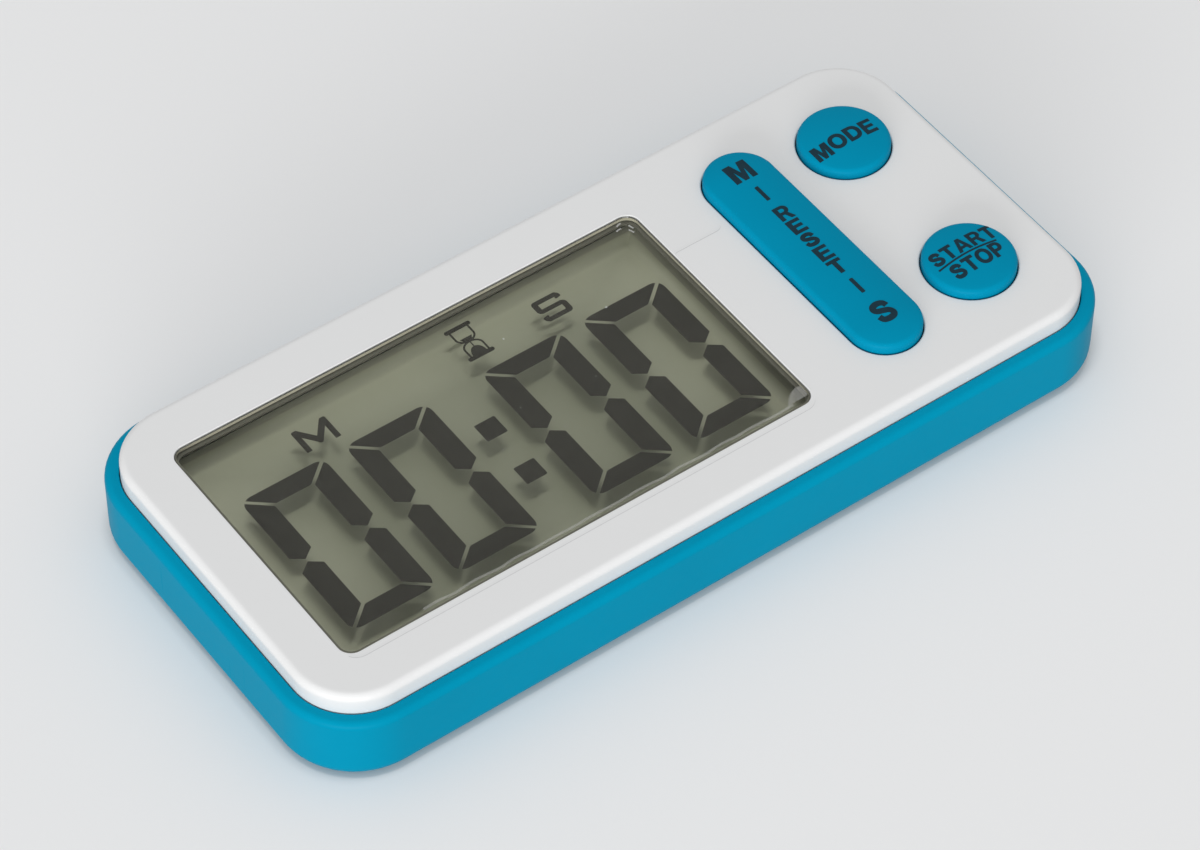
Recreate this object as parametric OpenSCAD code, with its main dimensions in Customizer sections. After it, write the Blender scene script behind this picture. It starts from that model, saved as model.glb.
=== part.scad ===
// Slim kitchen timer: a blue shell with a white face, a liquid crystal display
// behind a clear lens, two round buttons and a long tilting key, a coin cell
// behind a bayonet door, a buzzer, two magnets and a fold-out stand.
//
// Frame: the timer lies on its back, face up. The back is at z = 0, +X runs
// towards the keys, +Y towards the tops of the digits. All sizes are in mm.

/* [Case] */
// Length of the case
body_l = 110; // [99:0.5:122]
// Width of the case
body_w = 51.4; // [46:0.2:58]
// Height of the case, from the back to the face
body_h = 11.8; // [10.6:0.1:14]
// Corner radius of the case, seen from the front
corner_r = 9.5; // [8.5:0.25:10.5]
// Height of the white face above the shell's rim
face_rise = 2.6; // [1.8:0.1:3.2]
// Width of the shell's rim around the white face
rim_w = 1.8; // [1.6:0.1:2.2]
// Thickness of the shell's floor
floor_t = 1.6; // [1.2:0.1:2]
// Thickness of the face plate
face_t = 1.6; // [1.4:0.1:2]
// Thickness of the face's skirt, which stands inside the shell
skirt_t = 1.4; // [1:0.1:1.6]
// Depth that the skirt reaches below the rim
skirt_reach = 3; // [2:0.1:3]
// Gap between the skirt and the shell
split_gap = 0.12; // [0.08:0.01:0.2]
// Edge radius around the face
face_edge_r = 0.85; // [0.4:0.05:1.2]
// Edge radius of the shell's rim
rim_edge_r = 0.8; // [0.3:0.05:1]
// Edge radius around the back
back_edge_r = 1.9; // [1:0.1:3]

/* [Window and display] */
// Length of the face that the keys take up
key_field = 37.2; // [36:0.1:42]
// Corner radius of the lens opening
window_r = 1.85; // [1:0.05:3]
// Margin of white face at the display end
window_margin = 5.7; // [5.5:0.1:7]
// Margin of white face above and below the lens opening
window_side = 6.05; // [5.8:0.05:8]
// Thickness of the face around the lens
window_t = 1.3; // [1.2:0.05:1.5]
// Width of the ledge that the lens is bonded to
lens_ledge = 0.45; // [0.3:0.05:0.7]
// Thickness of the lens
lens_t = 0.8; // [0.6:0.05:0.9]
// Depth of the lens below the face
lens_recess = 0.1; // [0.05:0.01:0.2]
// Gap around the lens
lens_gap = 0.1; // [0.05:0.01:0.2]
// Thickness of each display glass
glass_t = 0.55; // [0.4:0.05:0.7]
// Thickness of each polarizer
polarizer_t = 0.15; // [0.1:0.01:0.25]
// Thickness of the liquid crystal layer with its edge seal
crystal_t = 0.06; // [0.04:0.01:0.1]
// Display glass beyond the lens opening, each side
glass_border = 1.75; // [1.5:0.05:2]
// Display glass beyond the lens opening, top and bottom
glass_border_y = 2.45; // [2.3:0.05:2.5]
// Width of the contact strip of the display, with its clearance
contact_ledge = 2; // [1.8:0.1:2.4]
// Thickness of the reflector sheet
reflector_t = 0.1; // [0.06:0.01:0.2]
// Thickness of the tray's floor
tray_floor_t = 0.6; // [0.5:0.05:0.8]
// Height of a digit, as a share of the lens opening's width
digit_h_share = 0.622; // [0.5:0.001:0.65]
// Width of a digit, as a share of the lens opening's length
digit_w_share = 0.173; // [0.14:0.001:0.18]
// Width of a digit's upright strokes, as a share of the digit's width
stroke_w_share = 0.26; // [0.15:0.01:0.28]
// Height of a digit's level strokes, as a share of the digit's height
stroke_h_share = 0.108; // [0.06:0.001:0.12]
// Distance from one digit to the next, as a share of the lens opening's length
digit_pitch_share = 0.218; // [0.19:0.001:0.223]
// Distance between the pairs of digits, as a share of the lens opening's length
pair_pitch_share = 0.5087; // [0.47:0.001:0.52]
// Thickness of the protective film
film_t = 0.08; // [0.05:0.01:0.15]
// Film beyond the lens opening at its bottom edge
film_lip = 0.9; // [0.4:0.1:1.5]
// Length of the film's pull tab beyond the lens opening
tab_l = 7.2; // [4:0.1:7.5]
// Width of the film's pull tab
tab_w = 5; // [3:0.1:8]

/* [Keys] */
// Diameter of a round button
button_d = 11.1; // [9:0.1:11.4]
// Button centre from the face's end
button_inset = 10.7; // [10.4:0.1:11.5]
// Button centre from the face's side
button_side = 12.25; // [12.1:0.05:13]
// Button height above the face
button_rise = 1.5; // [1.2:0.1:2]
// Distance from the tilting key's end to the face's side
rocker_side = 6.05; // [5.4:0.05:7.4]
// Width of the tilting key
rocker_w = 9; // [8.6:0.1:9.4]
// Tilting key's height above the face
rocker_rise = 1.6; // [1.4:0.1:2]
// Distance from the tilting key to the round buttons
rocker_pitch = 13.8; // [13.2:0.1:14.2]
// Gap around each key
key_gap = 0.15; // [0.1:0.01:0.2]
// Edge radius around each key's top
key_edge_r = 1.2; // [0.6:0.05:1.3]
// Crown of each key's top
key_crown = 0.35; // [0.1:0.05:0.5]
// Press travel of every key
key_travel = 0.8; // [0.5:0.05:1]
// Largest tilt of the long key, in degrees
tilt_angle = 2.4; // [1.5:0.1:2.6]
// Distance of the tilting key's switches from its middle, as a share of its length
switch_share = 0.336; // [0.31:0.002:0.36]
// Diameter of the tilting key's pin
pivot_d = 1.2; // [1:0.05:1.4]
// Running clearance of every pin, on the radius
pin_gap = 0.03; // [0.02:0.005:0.06]
// Thickness of the rubber mat
mat_t = 0.8; // [0.6:0.05:1]
// Diameter of a carbon contact
contact_d = 3; // [2:0.1:3.4]
// Thickness of a carbon contact
contact_t = 0.4; // [0.3:0.05:0.5]

/* [Power and sound] */
// Diameter of the coin cell
cell_d = 20; // [16:0.5:20.5]
// Thickness of the coin cell
cell_t = 3.2; // [2.5:0.1:3.3]
// Coin cell centre from the end of the case
cell_inset = 19; // [18:0.5:21]
// Coin cell centre below the middle, as a share of the case's width
cell_low_share = 0.0973; // [0.06:0.001:0.115]
// Thickness of the battery door
door_t = 1.2; // [1:0.1:1.3]
// Turn that frees the battery door, in degrees
door_turn = 40; // [30:1:50]
// Diameter of the buzzer's brass disc
buzzer_d = 20; // [14:0.5:20]
// Buzzer centre from the end of the case
buzzer_inset = 19; // [18:0.5:21]
// Buzzer centre below the middle, as a share of the case's width
buzzer_low_share = 0.0973; // [0.08:0.001:0.13]
// Thickness of the brass disc, and of its ceramic
buzzer_t = 0.2; // [0.15:0.05:0.3]
// Diameter of a sound hole
sound_hole_d = 1.2; // [0.8:0.1:1.6]
// Thickness of the circuit board
board_t = 0.8; // [0.6:0.1:0.9]

/* [Back] */
// Length of a magnet
magnet_l = 14; // [10:0.5:16]
// Width of a magnet
magnet_w = 8; // [6:0.5:8]
// Thickness of a magnet
magnet_t = 1.5; // [1:0.1:2]
// Magnet centres from the ends of the case
magnet_inset = 19; // [18:0.5:22]
// Magnet centres from the upper side of the case
magnet_side = 9.2; // [8.7:0.1:9.7]
// Width of the stand
stand_w = 32; // [26:0.5:34]
// Length of the stand from its pin to its foot
stand_l = 24; // [20:0.5:26]
// Thickness of the stand
stand_t = 1.5; // [1.3:0.1:1.6]
// Stand pin from the upper side of the case
stand_side = 16.7; // [15.7:0.1:18]
// Diameter of the stand's pin
stand_pin_d = 0.8; // [0.7:0.05:0.9]
// Widest opening of the stand, in degrees
stand_angle = 62; // [45:1:65]
// Diameter of a case screw's thread
screw_d = 2; // [1.8:0.1:2.2]

/* [Hidden] */

eps = 0.01;              // Cuts run this far past the faces that they open
round_fn = 64;           // Sides of a round outline
edge_steps = 8;          // Steps in a quarter-round edge
seat_gap = 0.05;         // Clearance where one piece drops in beside another

// Colours
white = [0.85, 0.86, 0.86];
blue = [0.01, 0.56, 0.69];
key_blue = [0.0, 0.50, 0.66];
steel = [0.75, 0.75, 0.76];

// Outlines
bezel_l = body_l - 2 * rim_w;
bezel_w = body_w - 2 * rim_w;
bezel_r = corner_r - rim_w;
shell_in_l = bezel_l + 2 * split_gap;
shell_in_w = bezel_w + 2 * split_gap;
shell_in_r = bezel_r + split_gap;
skirt_in_l = bezel_l - 2 * skirt_t;
skirt_in_w = bezel_w - 2 * skirt_t;
skirt_in_r = bezel_r - skirt_t;
window_l = bezel_l - window_margin - key_field;
window_w = bezel_w - 2 * window_side;

// Heights, from the face down to the display
z_face = body_h;
z_rim = z_face - face_rise;
z_plate = z_face - face_t;
z_skirt = z_rim - skirt_reach;
z_lens_top = z_face - lens_recess;
z_lens_seat = z_lens_top - lens_t;
z_window_back = z_face - window_t;
z_display_top = z_window_back - seat_gap;
z_front_glass_top = z_display_top - polarizer_t;
z_crystal_top = z_front_glass_top - glass_t;
z_rear_glass_top = z_crystal_top - crystal_t;
z_rear_glass = z_rear_glass_top - glass_t;
z_display = z_rear_glass - polarizer_t;

// Heights, from the back up to the reflector, with the air space above it
door_recess = 0.1;
z_door_in = door_recess + door_t;
z_cell = z_door_in;
z_cell_top = z_cell + cell_t;
board_clearance = 0.54;  // Between the coin cell and the board
z_board = z_cell_top + board_clearance;
z_board_top = z_board + board_t;
z_mat_top = z_board_top + mat_t;
z_tray_floor = z_board_top + tray_floor_t;

// Window and display
window_x = -bezel_l / 2 + window_margin + window_l / 2;
glass_l = window_l + 2 * glass_border;
glass_w = window_w + 2 * glass_border_y;
rear_glass_w = glass_w - contact_ledge;
display_view_gap = 0.2;  // The tray's well beyond the lens opening
well_l = window_l + 2 * display_view_gap;
well_w = window_w + 2 * display_view_gap;
tray_wall = 1.1;         // Tray wall around the display glass
tray_l = glass_l + 2 * tray_wall;
tray_w = glass_w + 2 * tray_wall;
tray_r = 4;
strip_share = 0.92;      // Contact strip's length as a share of the lens opening
strip_edge = 0.15;       // Contact strip from the glass edge and from the rear glass
strip_w = contact_ledge - 2 * seat_gap - 2 * strip_edge;
strip_l = window_l * strip_share;
strip_y = glass_w / 2 - seat_gap - strip_w / 2 - strip_edge;
polarizer_inset = 0.5;   // Polarizer inside the glass at each end, and its corner radius
polarizer_inset_y = 0.3;
tab_share = 0.325;       // Film tab above the middle, as a share of the opening's width
tab_root = 4;            // Film tab's overlap with the film
tab_r = 1;               // Corner radius of the film's tab

// Marks on the display, from the window's centre
digit_h = window_w * digit_h_share;
digit_w = window_l * digit_w_share;
stroke_w = digit_w * stroke_w_share;
stroke_h = digit_h * stroke_h_share;
digit_pitch = window_l * digit_pitch_share;
pair_pitch = window_l * pair_pitch_share;
digits_dx = window_l * 0.0063;
digits_dy = -window_w * 0.073;
labels_dy = window_w / 3;
minute_label_dx = -window_l * 0.25;
glass_icon_dx = window_l * 0.092;
glass_icon_dy = window_w * 0.37;
second_label_dx = window_l * 0.26;
mark_gap = 0.42;         // Gap between two strokes of a digit
label_h = window_w * 0.098;
label_w = window_l * 0.074;
label_stroke = 0.68;
icon_bar = 0.6;          // Hourglass: end plates, outline and neck
icon_line = 0.4;
icon_neck = 0.35;
stroke_cut = 0.45;       // Slanted ends of a digit's strokes, as a share of their width
colon_size = stroke_w * 0.96;
colon_pitch = digit_h * 0.342;

// Keys
button_x = bezel_l / 2 - button_inset;
rocker_x = button_x - rocker_pitch;
button_y = bezel_w / 2 - button_side;
button_ys = [button_y, -button_y];
rocker_l = bezel_w - 2 * rocker_side;
switch_reach = rocker_l * switch_share;
button_hole_r = button_d / 2 + key_gap;
rocker_slot_w = rocker_w + 2 * key_gap;
rocker_slot_l = rocker_l + 2 * key_gap;
flange_gap = 0.1;        // Between a key's flange and the face plate
flange_t = 0.8;
flange_w = 0.85;         // Flange beyond the key's side
z_flange_top = z_plate - flange_gap;
z_key_foot = z_flange_top - flange_t;
key_wall = 1.1;
key_roof = 1.35;
z_button_top = z_face + button_rise;
z_rocker_top = z_face + rocker_rise;
pusher_d = 4;
rocker_rim_drop = 0.8;   // Tilting key's side wall below the face plate
z_rocker_rim = z_plate - rocker_rim_drop;
pivot_drop = 0.4;        // Tilting key's pin below the face plate
z_pivot = z_plate - pivot_drop;
tab_len = 9;             // Length of the tilting key's side tabs
tilt_rise = tan(tilt_angle) * tab_len / 2;
z_rocker_tab_top = z_plate - flange_gap - tilt_rise;
ear_wall = 0.75;
z_ear = z_pivot - pivot_d / 2 - ear_wall;
carrier_side = 0.6;      // Carrier from the tilting key's walls
carrier_w = rocker_w - 2 * key_wall - 2 * carrier_side;
carrier_l = 11.6;
hub_wall = 0.8;
hub_d = pivot_d + 2 * hub_wall;
z_carrier = z_pivot - hub_d / 2;
carrier_t = 0.8;
peg_d = 1.5;
peg_inset = 0.2;
peg_y = carrier_l / 2 - peg_d / 2 - peg_inset;
peg_gap = 0.1;           // Around a guide peg in the board, on the radius
mat_peg_gap = 0.3;       // Around a guide peg in the mat, on the radius
peg_reach = 0.5;         // Guide pegs below the board at rest
web_t = 0.45;            // Thickness of a rubber dome's skirt
dome_d = 7.4;
dome_boss_d = pusher_d;
press_room = 0.05;       // Left under a contact at the end of its travel
z_contact = z_board_top + key_travel + press_room;
end_dip = tan(tilt_angle) * (switch_reach + contact_d / 2);
z_end_contact = z_contact + end_dip;
mat_gap = 0.4;           // Mat from the tray
mat_edge = 1.2;          // Mat beyond the button holes
mat_side = 1.7;          // Mat from the face's skirt
mat_r = 3;
mat_x0 = window_x + tray_l / 2 + mat_gap;
mat_x1 = button_x + button_hole_r + mat_edge;
mat_w = skirt_in_w - 2 * mat_side;
dome_foot = 0.4;         // Height of a rubber dome's foot
dome_shoulder = 0.5;     // Its shoulder and hollow, as shares of its boss's height
dome_hollow = 0.25;
dome_lip = 0.3;

// Board and its fixings
board_gap = 2.6;         // Board's edge from the shell's inner wall
board_l = shell_in_l - 2 * board_gap;
board_w = shell_in_w - 2 * board_gap;
board_r = 4;
boss_d = 4.6;            // Case screw bosses
boss_inset = 5;          // Case screw from the face's end and sides
post_d = 7;              // Shell posts under those bosses
boss_x = bezel_l / 2 - boss_inset;
boss_y = bezel_w / 2 - boss_inset;
head_d = 3.8;
head_t = 1.2;
head_well_d = 4.6;
head_depth = 2.6;        // Bearing face of the case screws above the back
seat_t = 1.2;
z_post = head_depth + seat_t;
screw_l = 6;
thread_gap = 0.02;
screw_play = 0.2;        // Around a case screw in the shell, on the radius
tip_gap = 0.3;           // Left under a screw's tip
hole_play = 0.15;        // Around a board screw in the board, on the radius
boss_play = 0.4;         // Around a case boss in the board and the mat, on the radius
cross_share = 0.6;       // Cross recess: length as a share of the head, width, depth
cross_w = 0.5;
cross_depth = 0.7;
board_cross_w = 0.4;
board_cross_depth = 0.4;
board_screw_d = 1.6;
board_screw_l = 3.4;
board_head_d = 3;
board_head_t = 0.8;
board_boss_d = 3.4;
board_boss_x = (window_x + tray_l / 2 + rocker_x - rocker_slot_w / 2) / 2;
board_boss_inset = 2.6;
board_boss_y = board_w / 2 - board_boss_inset;
mid_boss_x = (rocker_x + rocker_slot_w / 2 + button_x) / 2;
board_holes = [
    [board_boss_x, board_boss_y], [board_boss_x, -board_boss_y], [mid_boss_x, 0]
];
snap_l = 6;
snap_t = 0.35;
snap_h = 1;
snap_drop = 1.9;         // Snap bars below the shell's rim
snap_gap = 0.1;
snap_share = 0.2;        // Snap bars from the middle, as a share of the face's sides
snap_y = bezel_w * snap_share;
snap_x = -bezel_l * snap_share;
z_snap = z_rim - snap_drop;

// Battery door and coin cell
cell_x = cell_inset - body_l / 2;
cell_y = -body_w * cell_low_share;
door_gap = 0.2;
door_ring_t = 1;
cell_play = 0.4;         // Around the cell inside the door's ring
door_rim = 1.3;          // Door beyond its ring
door_ring_r = cell_d / 2 + cell_play + door_ring_t;
door_r = door_ring_r + door_rim;
ledge_t = 0.6;           // Bayonet ledge in the shell
z_ledge = z_door_in + seat_gap;
lug_t = 0.8;
z_lug = z_ledge + ledge_t + seat_gap;
lug_w = 5;
lug_reach = 1.1;
lug_r = door_ring_r + lug_reach;
lug_well_r = lug_r + door_gap;
z_lug_well = z_lug + lug_t + seat_gap;
housing_wall = 1.5;
housing_r = lug_well_r + housing_wall;
lip_t = 1;
cell_gap = 0.3;
cap_t = 0.35;            // Cell's raised cap, and its inset from the can
cap_inset = 1.3;
spring_t = 0.2;
spring_w = 3;
spring_half = 6;         // Half length of the strip over the cell
spring_foot = 2;         // Soldered end of each spring
spring_flat = 1.5;       // Half length of the part that lies on the cell
spring_slot = [1, 3];    // Slot in the housing: from inside the cell's rim, length
slot_share = 1.3;        // Coin slot: length as a share of the door's radius
slot_w = 1.8;
slot_depth = 0.6;

// Buzzer
buzzer_x = body_l / 2 - buzzer_inset;
buzzer_y = -body_w * buzzer_low_share;
buzzer_lift = 1;         // Buzzer above the floor
z_buzzer = floor_t + buzzer_lift;
buzzer_rib_w = 1.2;
ceramic_share = 0.7;
ceramic_d = buzzer_d * ceramic_share;
sound_ring_d = 6;
sound_holes = 6;
wire_d = 0.7;
wire_starts = [[1, -2], [2, buzzer_d / 2 - 1]];    // On the ceramic and on the brass
wire_bend = 2.5;         // Along X: first bend, climb and solder point on the board
wire_climb = 6;
wire_end = 7.5;
wire_spread = [0.6, 1, 1.4];

// Parts under the board
chip_inset = 12;         // Covered chip from the end of the lens opening
chip_at = [window_x + window_l / 2 - chip_inset, 3];
chip_d = 9;
chip_h = 1.3;
can_dx = 12.5;           // Crystal and chips from the buzzer's middle
can_dy = 4;
chips_d = 14;
can_at = [buzzer_x - can_dx, buzzer_y - can_dy];
can_l = 5.2;
can_d = 1.6;
chips_at = [buzzer_x - chips_d, buzzer_y + chips_d];
chips_pitch = 2.6;
chip_size = [1.6, 0.8, 0.6];

// Magnets and stand
magnet_x = body_l / 2 - magnet_inset;
magnet_y = body_w / 2 - magnet_side;
stand_y = body_w / 2 - stand_side;
magnet_gap = 0.1;
magnet_recess = 0.05;
pad_t = 1.1;             // Shell left over a recess in the back
stand_gap = 0.3;
stand_recess = 0.15;
z_stand_top = stand_recess + stand_t;
z_stand_axis = stand_recess + stand_t / 2;
stand_pin_bite = 3.5;    // Stand pin's hold in the shell at each end
stand_pin_l = stand_w + 2 * stand_pin_bite;
stand_well_z = z_stand_top + stand_gap;
barrel_gap = 0.12;       // Between the stand's barrel and its well
stop_gap = 0.05;         // Left between the open stand and the edge that stops it
barrel_r = stand_t / 2 + barrel_gap;
stand_stop_y = barrel_r * sin(stand_angle - acos((stand_t / 2 + stop_gap) / barrel_r));
stand_bar = 5;           // Width of the stand's legs and foot
stand_arm = 6;

// ---------------------------------------------------------------- outlines

// Flat outline of a rectangle with round corners
module round_rect(l, w, r) {
    square([l - 2 * r, w], center = true);
    square([l, w - 2 * r], center = true);
    for (sx = [-1, 1], sy = [-1, 1])
        translate([sx * (l / 2 - r), sy * (w / 2 - r)])
            circle(r = r, $fn = round_fn);
}

// Plate with round corners, standing on z = 0
module round_plate(l, w, h, r) {
    linear_extrude(h) round_rect(l, w, r);
}

// Half section of a disc of radius r whose edges are rounded
function edged_disc(r, h, top_r, low_r) = concat(
    [[0, 0]],
    [for (i = [0 : edge_steps]) let (a = 90 * i / edge_steps)
        [r - low_r + low_r * sin(a), low_r - low_r * cos(a)]],
    [for (i = [0 : edge_steps]) let (a = 90 * i / edge_steps)
        [r - top_r + top_r * cos(a), h - top_r + top_r * sin(a)]],
    [[0, h]]
);

// Block with round corners and rounded top and bottom edges
module edged_block(l, w, h, r, top_r, low_r) {
    hull()
        for (sx = [-1, 1], sy = [-1, 1])
            translate([sx * (l / 2 - r), sy * (w / 2 - r), 0])
                rotate_extrude($fn = round_fn)
                    polygon(edged_disc(r, h, top_r, low_r));
}

// Half section of a key cap: upright side, rounded edge, crowned top
function crowned_disc(r, h, edge, crown) = concat(
    [[0, 0], [r, 0]],
    [for (i = [0 : edge_steps]) let (a = 80 * i / edge_steps)
        [r - edge + edge * cos(a), h - crown - edge + edge * sin(a)]],
    [for (i = [1 : edge_steps])
        let (x = (r - edge + edge * cos(80)) * (1 - i / edge_steps))
        let (rim = h - crown - edge + edge * sin(80))
        [x, h - (h - rim) * pow(x / (r - edge + edge * cos(80)), 2)]]
);

module tube(h, d_out, d_in) {
    difference() {
        cylinder(h = h, d = d_out, $fn = round_fn);
        translate([0, 0, -eps]) cylinder(h = h + 2 * eps, d = d_in, $fn = round_fn);
    }
}

// A cylinder along X, centred on the origin
module x_rod(l, d) {
    rotate([0, 90, 0]) cylinder(h = l, d = d, center = true, $fn = round_fn);
}

// Slot with round ends, long in Y
module slot_outline(l, w) {
    square([w, l - w], center = true);
    for (sy = [-1, 1])
        translate([0, sy * (l - w) / 2]) circle(d = w, $fn = round_fn);
}

// -------------------------------------------------------------------- case

module snap_bars(extra) {
    for (sy = [-1, 1]) {
        translate([-bezel_l / 2, sy * snap_y, z_snap])
            cube([2 * (snap_t + extra), snap_l + 2 * extra, snap_h + 2 * extra], center = true);
        translate([snap_x, sy * bezel_w / 2, z_snap])
            cube([snap_l + 2 * extra, 2 * (snap_t + extra), snap_h + 2 * extra], center = true);
    }
}

// Room for the folded stand. Its upper edge stops the stand when it is open.
module stand_well() {
    translate([-stand_w / 2 - stand_gap, stand_y - stand_l - stand_gap, -eps])
        cube([stand_w + 2 * stand_gap, stand_l + stand_gap, stand_well_z + eps]);
    translate([0, stand_y, z_stand_axis]) x_rod(stand_w + 2 * stand_gap, 2 * barrel_r);
    translate([-stand_w / 2 - stand_gap, stand_y - barrel_r, -eps])
        cube([stand_w + 2 * stand_gap, barrel_r + stand_stop_y, z_stand_axis + eps]);
}

module magnet_places() {
    for (sx = [-1, 1]) translate([sx * magnet_x, magnet_y, 0]) children();
}

module screw_places() {
    for (sy = [-1, 1]) translate([boss_x, sy * boss_y, 0]) children();
}

module cell_place() {
    translate([cell_x, cell_y, 0]) children();
}

module buzzer_place() {
    translate([buzzer_x, buzzer_y, 0]) children();
}

module rear_shell() {
    stand_pad = stand_well_z + pad_t;
    color(blue)
    difference() {
        union() {
            difference() {
                edged_block(body_l, body_w, z_rim, corner_r,
                    min(rim_edge_r, rim_w - split_gap - 0.1), back_edge_r);
                translate([0, 0, floor_t])
                    round_plate(shell_in_l, shell_in_w, body_h, shell_in_r);
            }
            screw_places() cylinder(h = z_post, d = post_d, $fn = round_fn);
            cell_place() cylinder(h = z_lug_well + lip_t, r = housing_r, $fn = round_fn);
            buzzer_place() tube(z_buzzer, buzzer_d, buzzer_d - 2 * buzzer_rib_w);
            magnet_places()
                translate([-magnet_l / 2 - pad_t, -magnet_w / 2 - pad_t, floor_t / 2])
                    cube([magnet_l + 2 * pad_t, magnet_w + 2 * pad_t,
                        magnet_t + magnet_recess + pad_t - floor_t / 2]);
            translate([-stand_pin_l / 2 - pad_t, stand_y - stand_l - pad_t, floor_t / 2])
                cube([stand_pin_l + 2 * pad_t, stand_l + 2 * pad_t + stand_t,
                    stand_pad - floor_t / 2]);
        }
        screw_places() {
            translate([0, 0, -eps]) cylinder(h = head_depth + eps, d = head_well_d, $fn = round_fn);
            cylinder(h = body_h, d = screw_d + 2 * screw_play, $fn = round_fn);
        }
        cell_place() {
            translate([0, 0, -eps])
                cylinder(h = z_ledge + eps, r = door_r + door_gap, $fn = round_fn);
            cylinder(h = z_lug_well, r = door_ring_r + door_gap, $fn = round_fn);
            translate([0, 0, z_ledge + ledge_t])
                cylinder(h = z_lug_well - z_ledge - ledge_t, r = lug_well_r, $fn = round_fn);
            cylinder(h = body_h, r = cell_d / 2 + cell_gap, $fn = round_fn);
            rotate(-door_turn)
                translate([-lug_r - seat_gap, -lug_w / 2 - door_gap, z_ledge - eps])
                    cube([2 * (lug_r + seat_gap), lug_w + 2 * door_gap, ledge_t + 2 * eps]);
            translate([cell_d / 2 - spring_slot[0], -spring_w, z_lug_well - eps])
                cube([spring_slot[1], 2 * spring_w, body_h]);
        }
        buzzer_place() translate([0, 0, -eps]) {
            cylinder(h = floor_t + 2 * eps, d = sound_hole_d, $fn = round_fn);
            for (i = [0 : sound_holes - 1])
                rotate(i * 360 / sound_holes)
                    translate([sound_ring_d / 2, 0, 0])
                        cylinder(h = floor_t + 2 * eps, d = sound_hole_d, $fn = round_fn);
        }
        magnet_places()
            translate([-magnet_l / 2 - magnet_gap, -magnet_w / 2 - magnet_gap, -eps])
                cube([magnet_l + 2 * magnet_gap, magnet_w + 2 * magnet_gap,
                    magnet_t + magnet_recess + eps]);
        stand_well();
        translate([0, stand_y, z_stand_axis])
            x_rod(stand_pin_l + 2 * pin_gap, stand_pin_d + 2 * pin_gap);
        snap_bars(snap_gap);
    }
}

module front_bezel() {
    color(white)
    difference() {
        union() {
            difference() {
                translate([0, 0, z_skirt])
                    edged_block(bezel_l, bezel_w, z_face - z_skirt, bezel_r, face_edge_r, eps);
                translate([0, 0, z_skirt - eps])
                    round_plate(skirt_in_l, skirt_in_w, z_plate - z_skirt + eps, skirt_in_r);
            }
            intersection() {
                screw_places()
                    translate([0, 0, z_post + seat_gap])
                        cylinder(h = z_plate - z_post, d = boss_d, $fn = round_fn);
                translate([0, 0, z_post])
                    round_plate(skirt_in_l + skirt_t, skirt_in_w + skirt_t, body_h, skirt_in_r);
            }
            for (p = board_holes)
                translate([p[0], p[1], z_board_top])
                    cylinder(h = z_plate - z_board_top + eps, d = board_boss_d, $fn = round_fn);
            snap_bars(0);
        }
        // Lens opening, its ledge and the pocket for the display
        translate([window_x, 0, z_lens_seat])
            round_plate(window_l, window_w, body_h, window_r);
        translate([window_x, 0, z_skirt])
            round_plate(window_l - 2 * lens_ledge, window_w - 2 * lens_ledge, body_h,
                window_r - lens_ledge);
        translate([window_x, 0, z_skirt - eps])
            round_plate(tray_l + 4 * seat_gap, tray_w + 2 * seat_gap,
                z_window_back - z_skirt + eps, tray_r);
        // Key openings
        for (y = button_ys)
            translate([button_x, y, z_skirt]) cylinder(h = body_h, r = button_hole_r, $fn = round_fn);
        translate([rocker_x, 0, z_skirt])
            linear_extrude(body_h) slot_outline(rocker_slot_l, rocker_slot_w);
        // Screw holes
        screw_places()
            translate([0, 0, head_depth])
                cylinder(h = screw_l + tip_gap, d = screw_d + 2 * thread_gap, $fn = round_fn);
        for (p = board_holes)
            translate([p[0], p[1], z_board_top - eps])
                cylinder(h = board_screw_l - board_t + tip_gap, d = board_screw_d + 2 * thread_gap,
                    $fn = round_fn);
    }
}

module case_screws() {
    color(steel)
    screw_places()
        difference() {
            union() {
                translate([0, 0, head_depth - head_t]) cylinder(h = head_t, d = head_d, $fn = round_fn);
                translate([0, 0, head_depth]) cylinder(h = screw_l, d = screw_d, $fn = round_fn);
            }
            for (a = [0, 90])
                rotate(a) translate([0, 0, head_depth - head_t])
                    cube([head_d * cross_share, cross_w, 2 * cross_depth], center = true);
        }
}

module board_screws() {
    color(steel)
    for (p = board_holes)
        translate([p[0], p[1], z_board])
            difference() {
                union() {
                    translate([0, 0, -board_head_t])
                        cylinder(h = board_head_t, d = board_head_d, $fn = round_fn);
                    cylinder(h = board_screw_l, d = board_screw_d, $fn = round_fn);
                }
                for (a = [0, 90])
                    rotate(a) translate([0, 0, -board_head_t])
                        cube([board_head_d * cross_share, board_cross_w, 2 * board_cross_depth],
                            center = true);
            }
}

// ----------------------------------------------------------------- display

module display_lens() {
    color([0.85, 0.9, 0.9, 0.3])
    translate([window_x, 0, z_lens_seat])
        round_plate(window_l - 2 * lens_gap, window_w - 2 * lens_gap, lens_t, window_r - lens_gap);
}

module protective_film() {
    tab_y = window_w * tab_share;
    color([0.9, 0.95, 0.95, 0.2])
    translate([window_x, 0, z_face])
        linear_extrude(film_t) {
            translate([0, -film_lip / 2])
                round_rect(window_l, window_w + film_lip, window_r);
            translate([window_l / 2 - tab_root, tab_y - tab_w / 2])
                square([tab_l + tab_root - tab_r, tab_w]);
            translate([window_l / 2 + tab_l - 2 * tab_r, tab_y])
                round_rect(4 * tab_r, tab_w, tab_r);
        }
}

module lcd_front_polarizer() {
    color([0.55, 0.58, 0.5, 0.4])
    translate([window_x, -contact_ledge / 2, z_front_glass_top])
        round_plate(glass_l - 2 * polarizer_inset, rear_glass_w - 2 * polarizer_inset_y,
            polarizer_t, polarizer_inset);
}

module lcd_front_glass() {
    color([0.8, 0.85, 0.8, 0.3])
    translate([window_x, 0, z_crystal_top])
        linear_extrude(glass_t) square([glass_l, glass_w], center = true);
}

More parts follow.
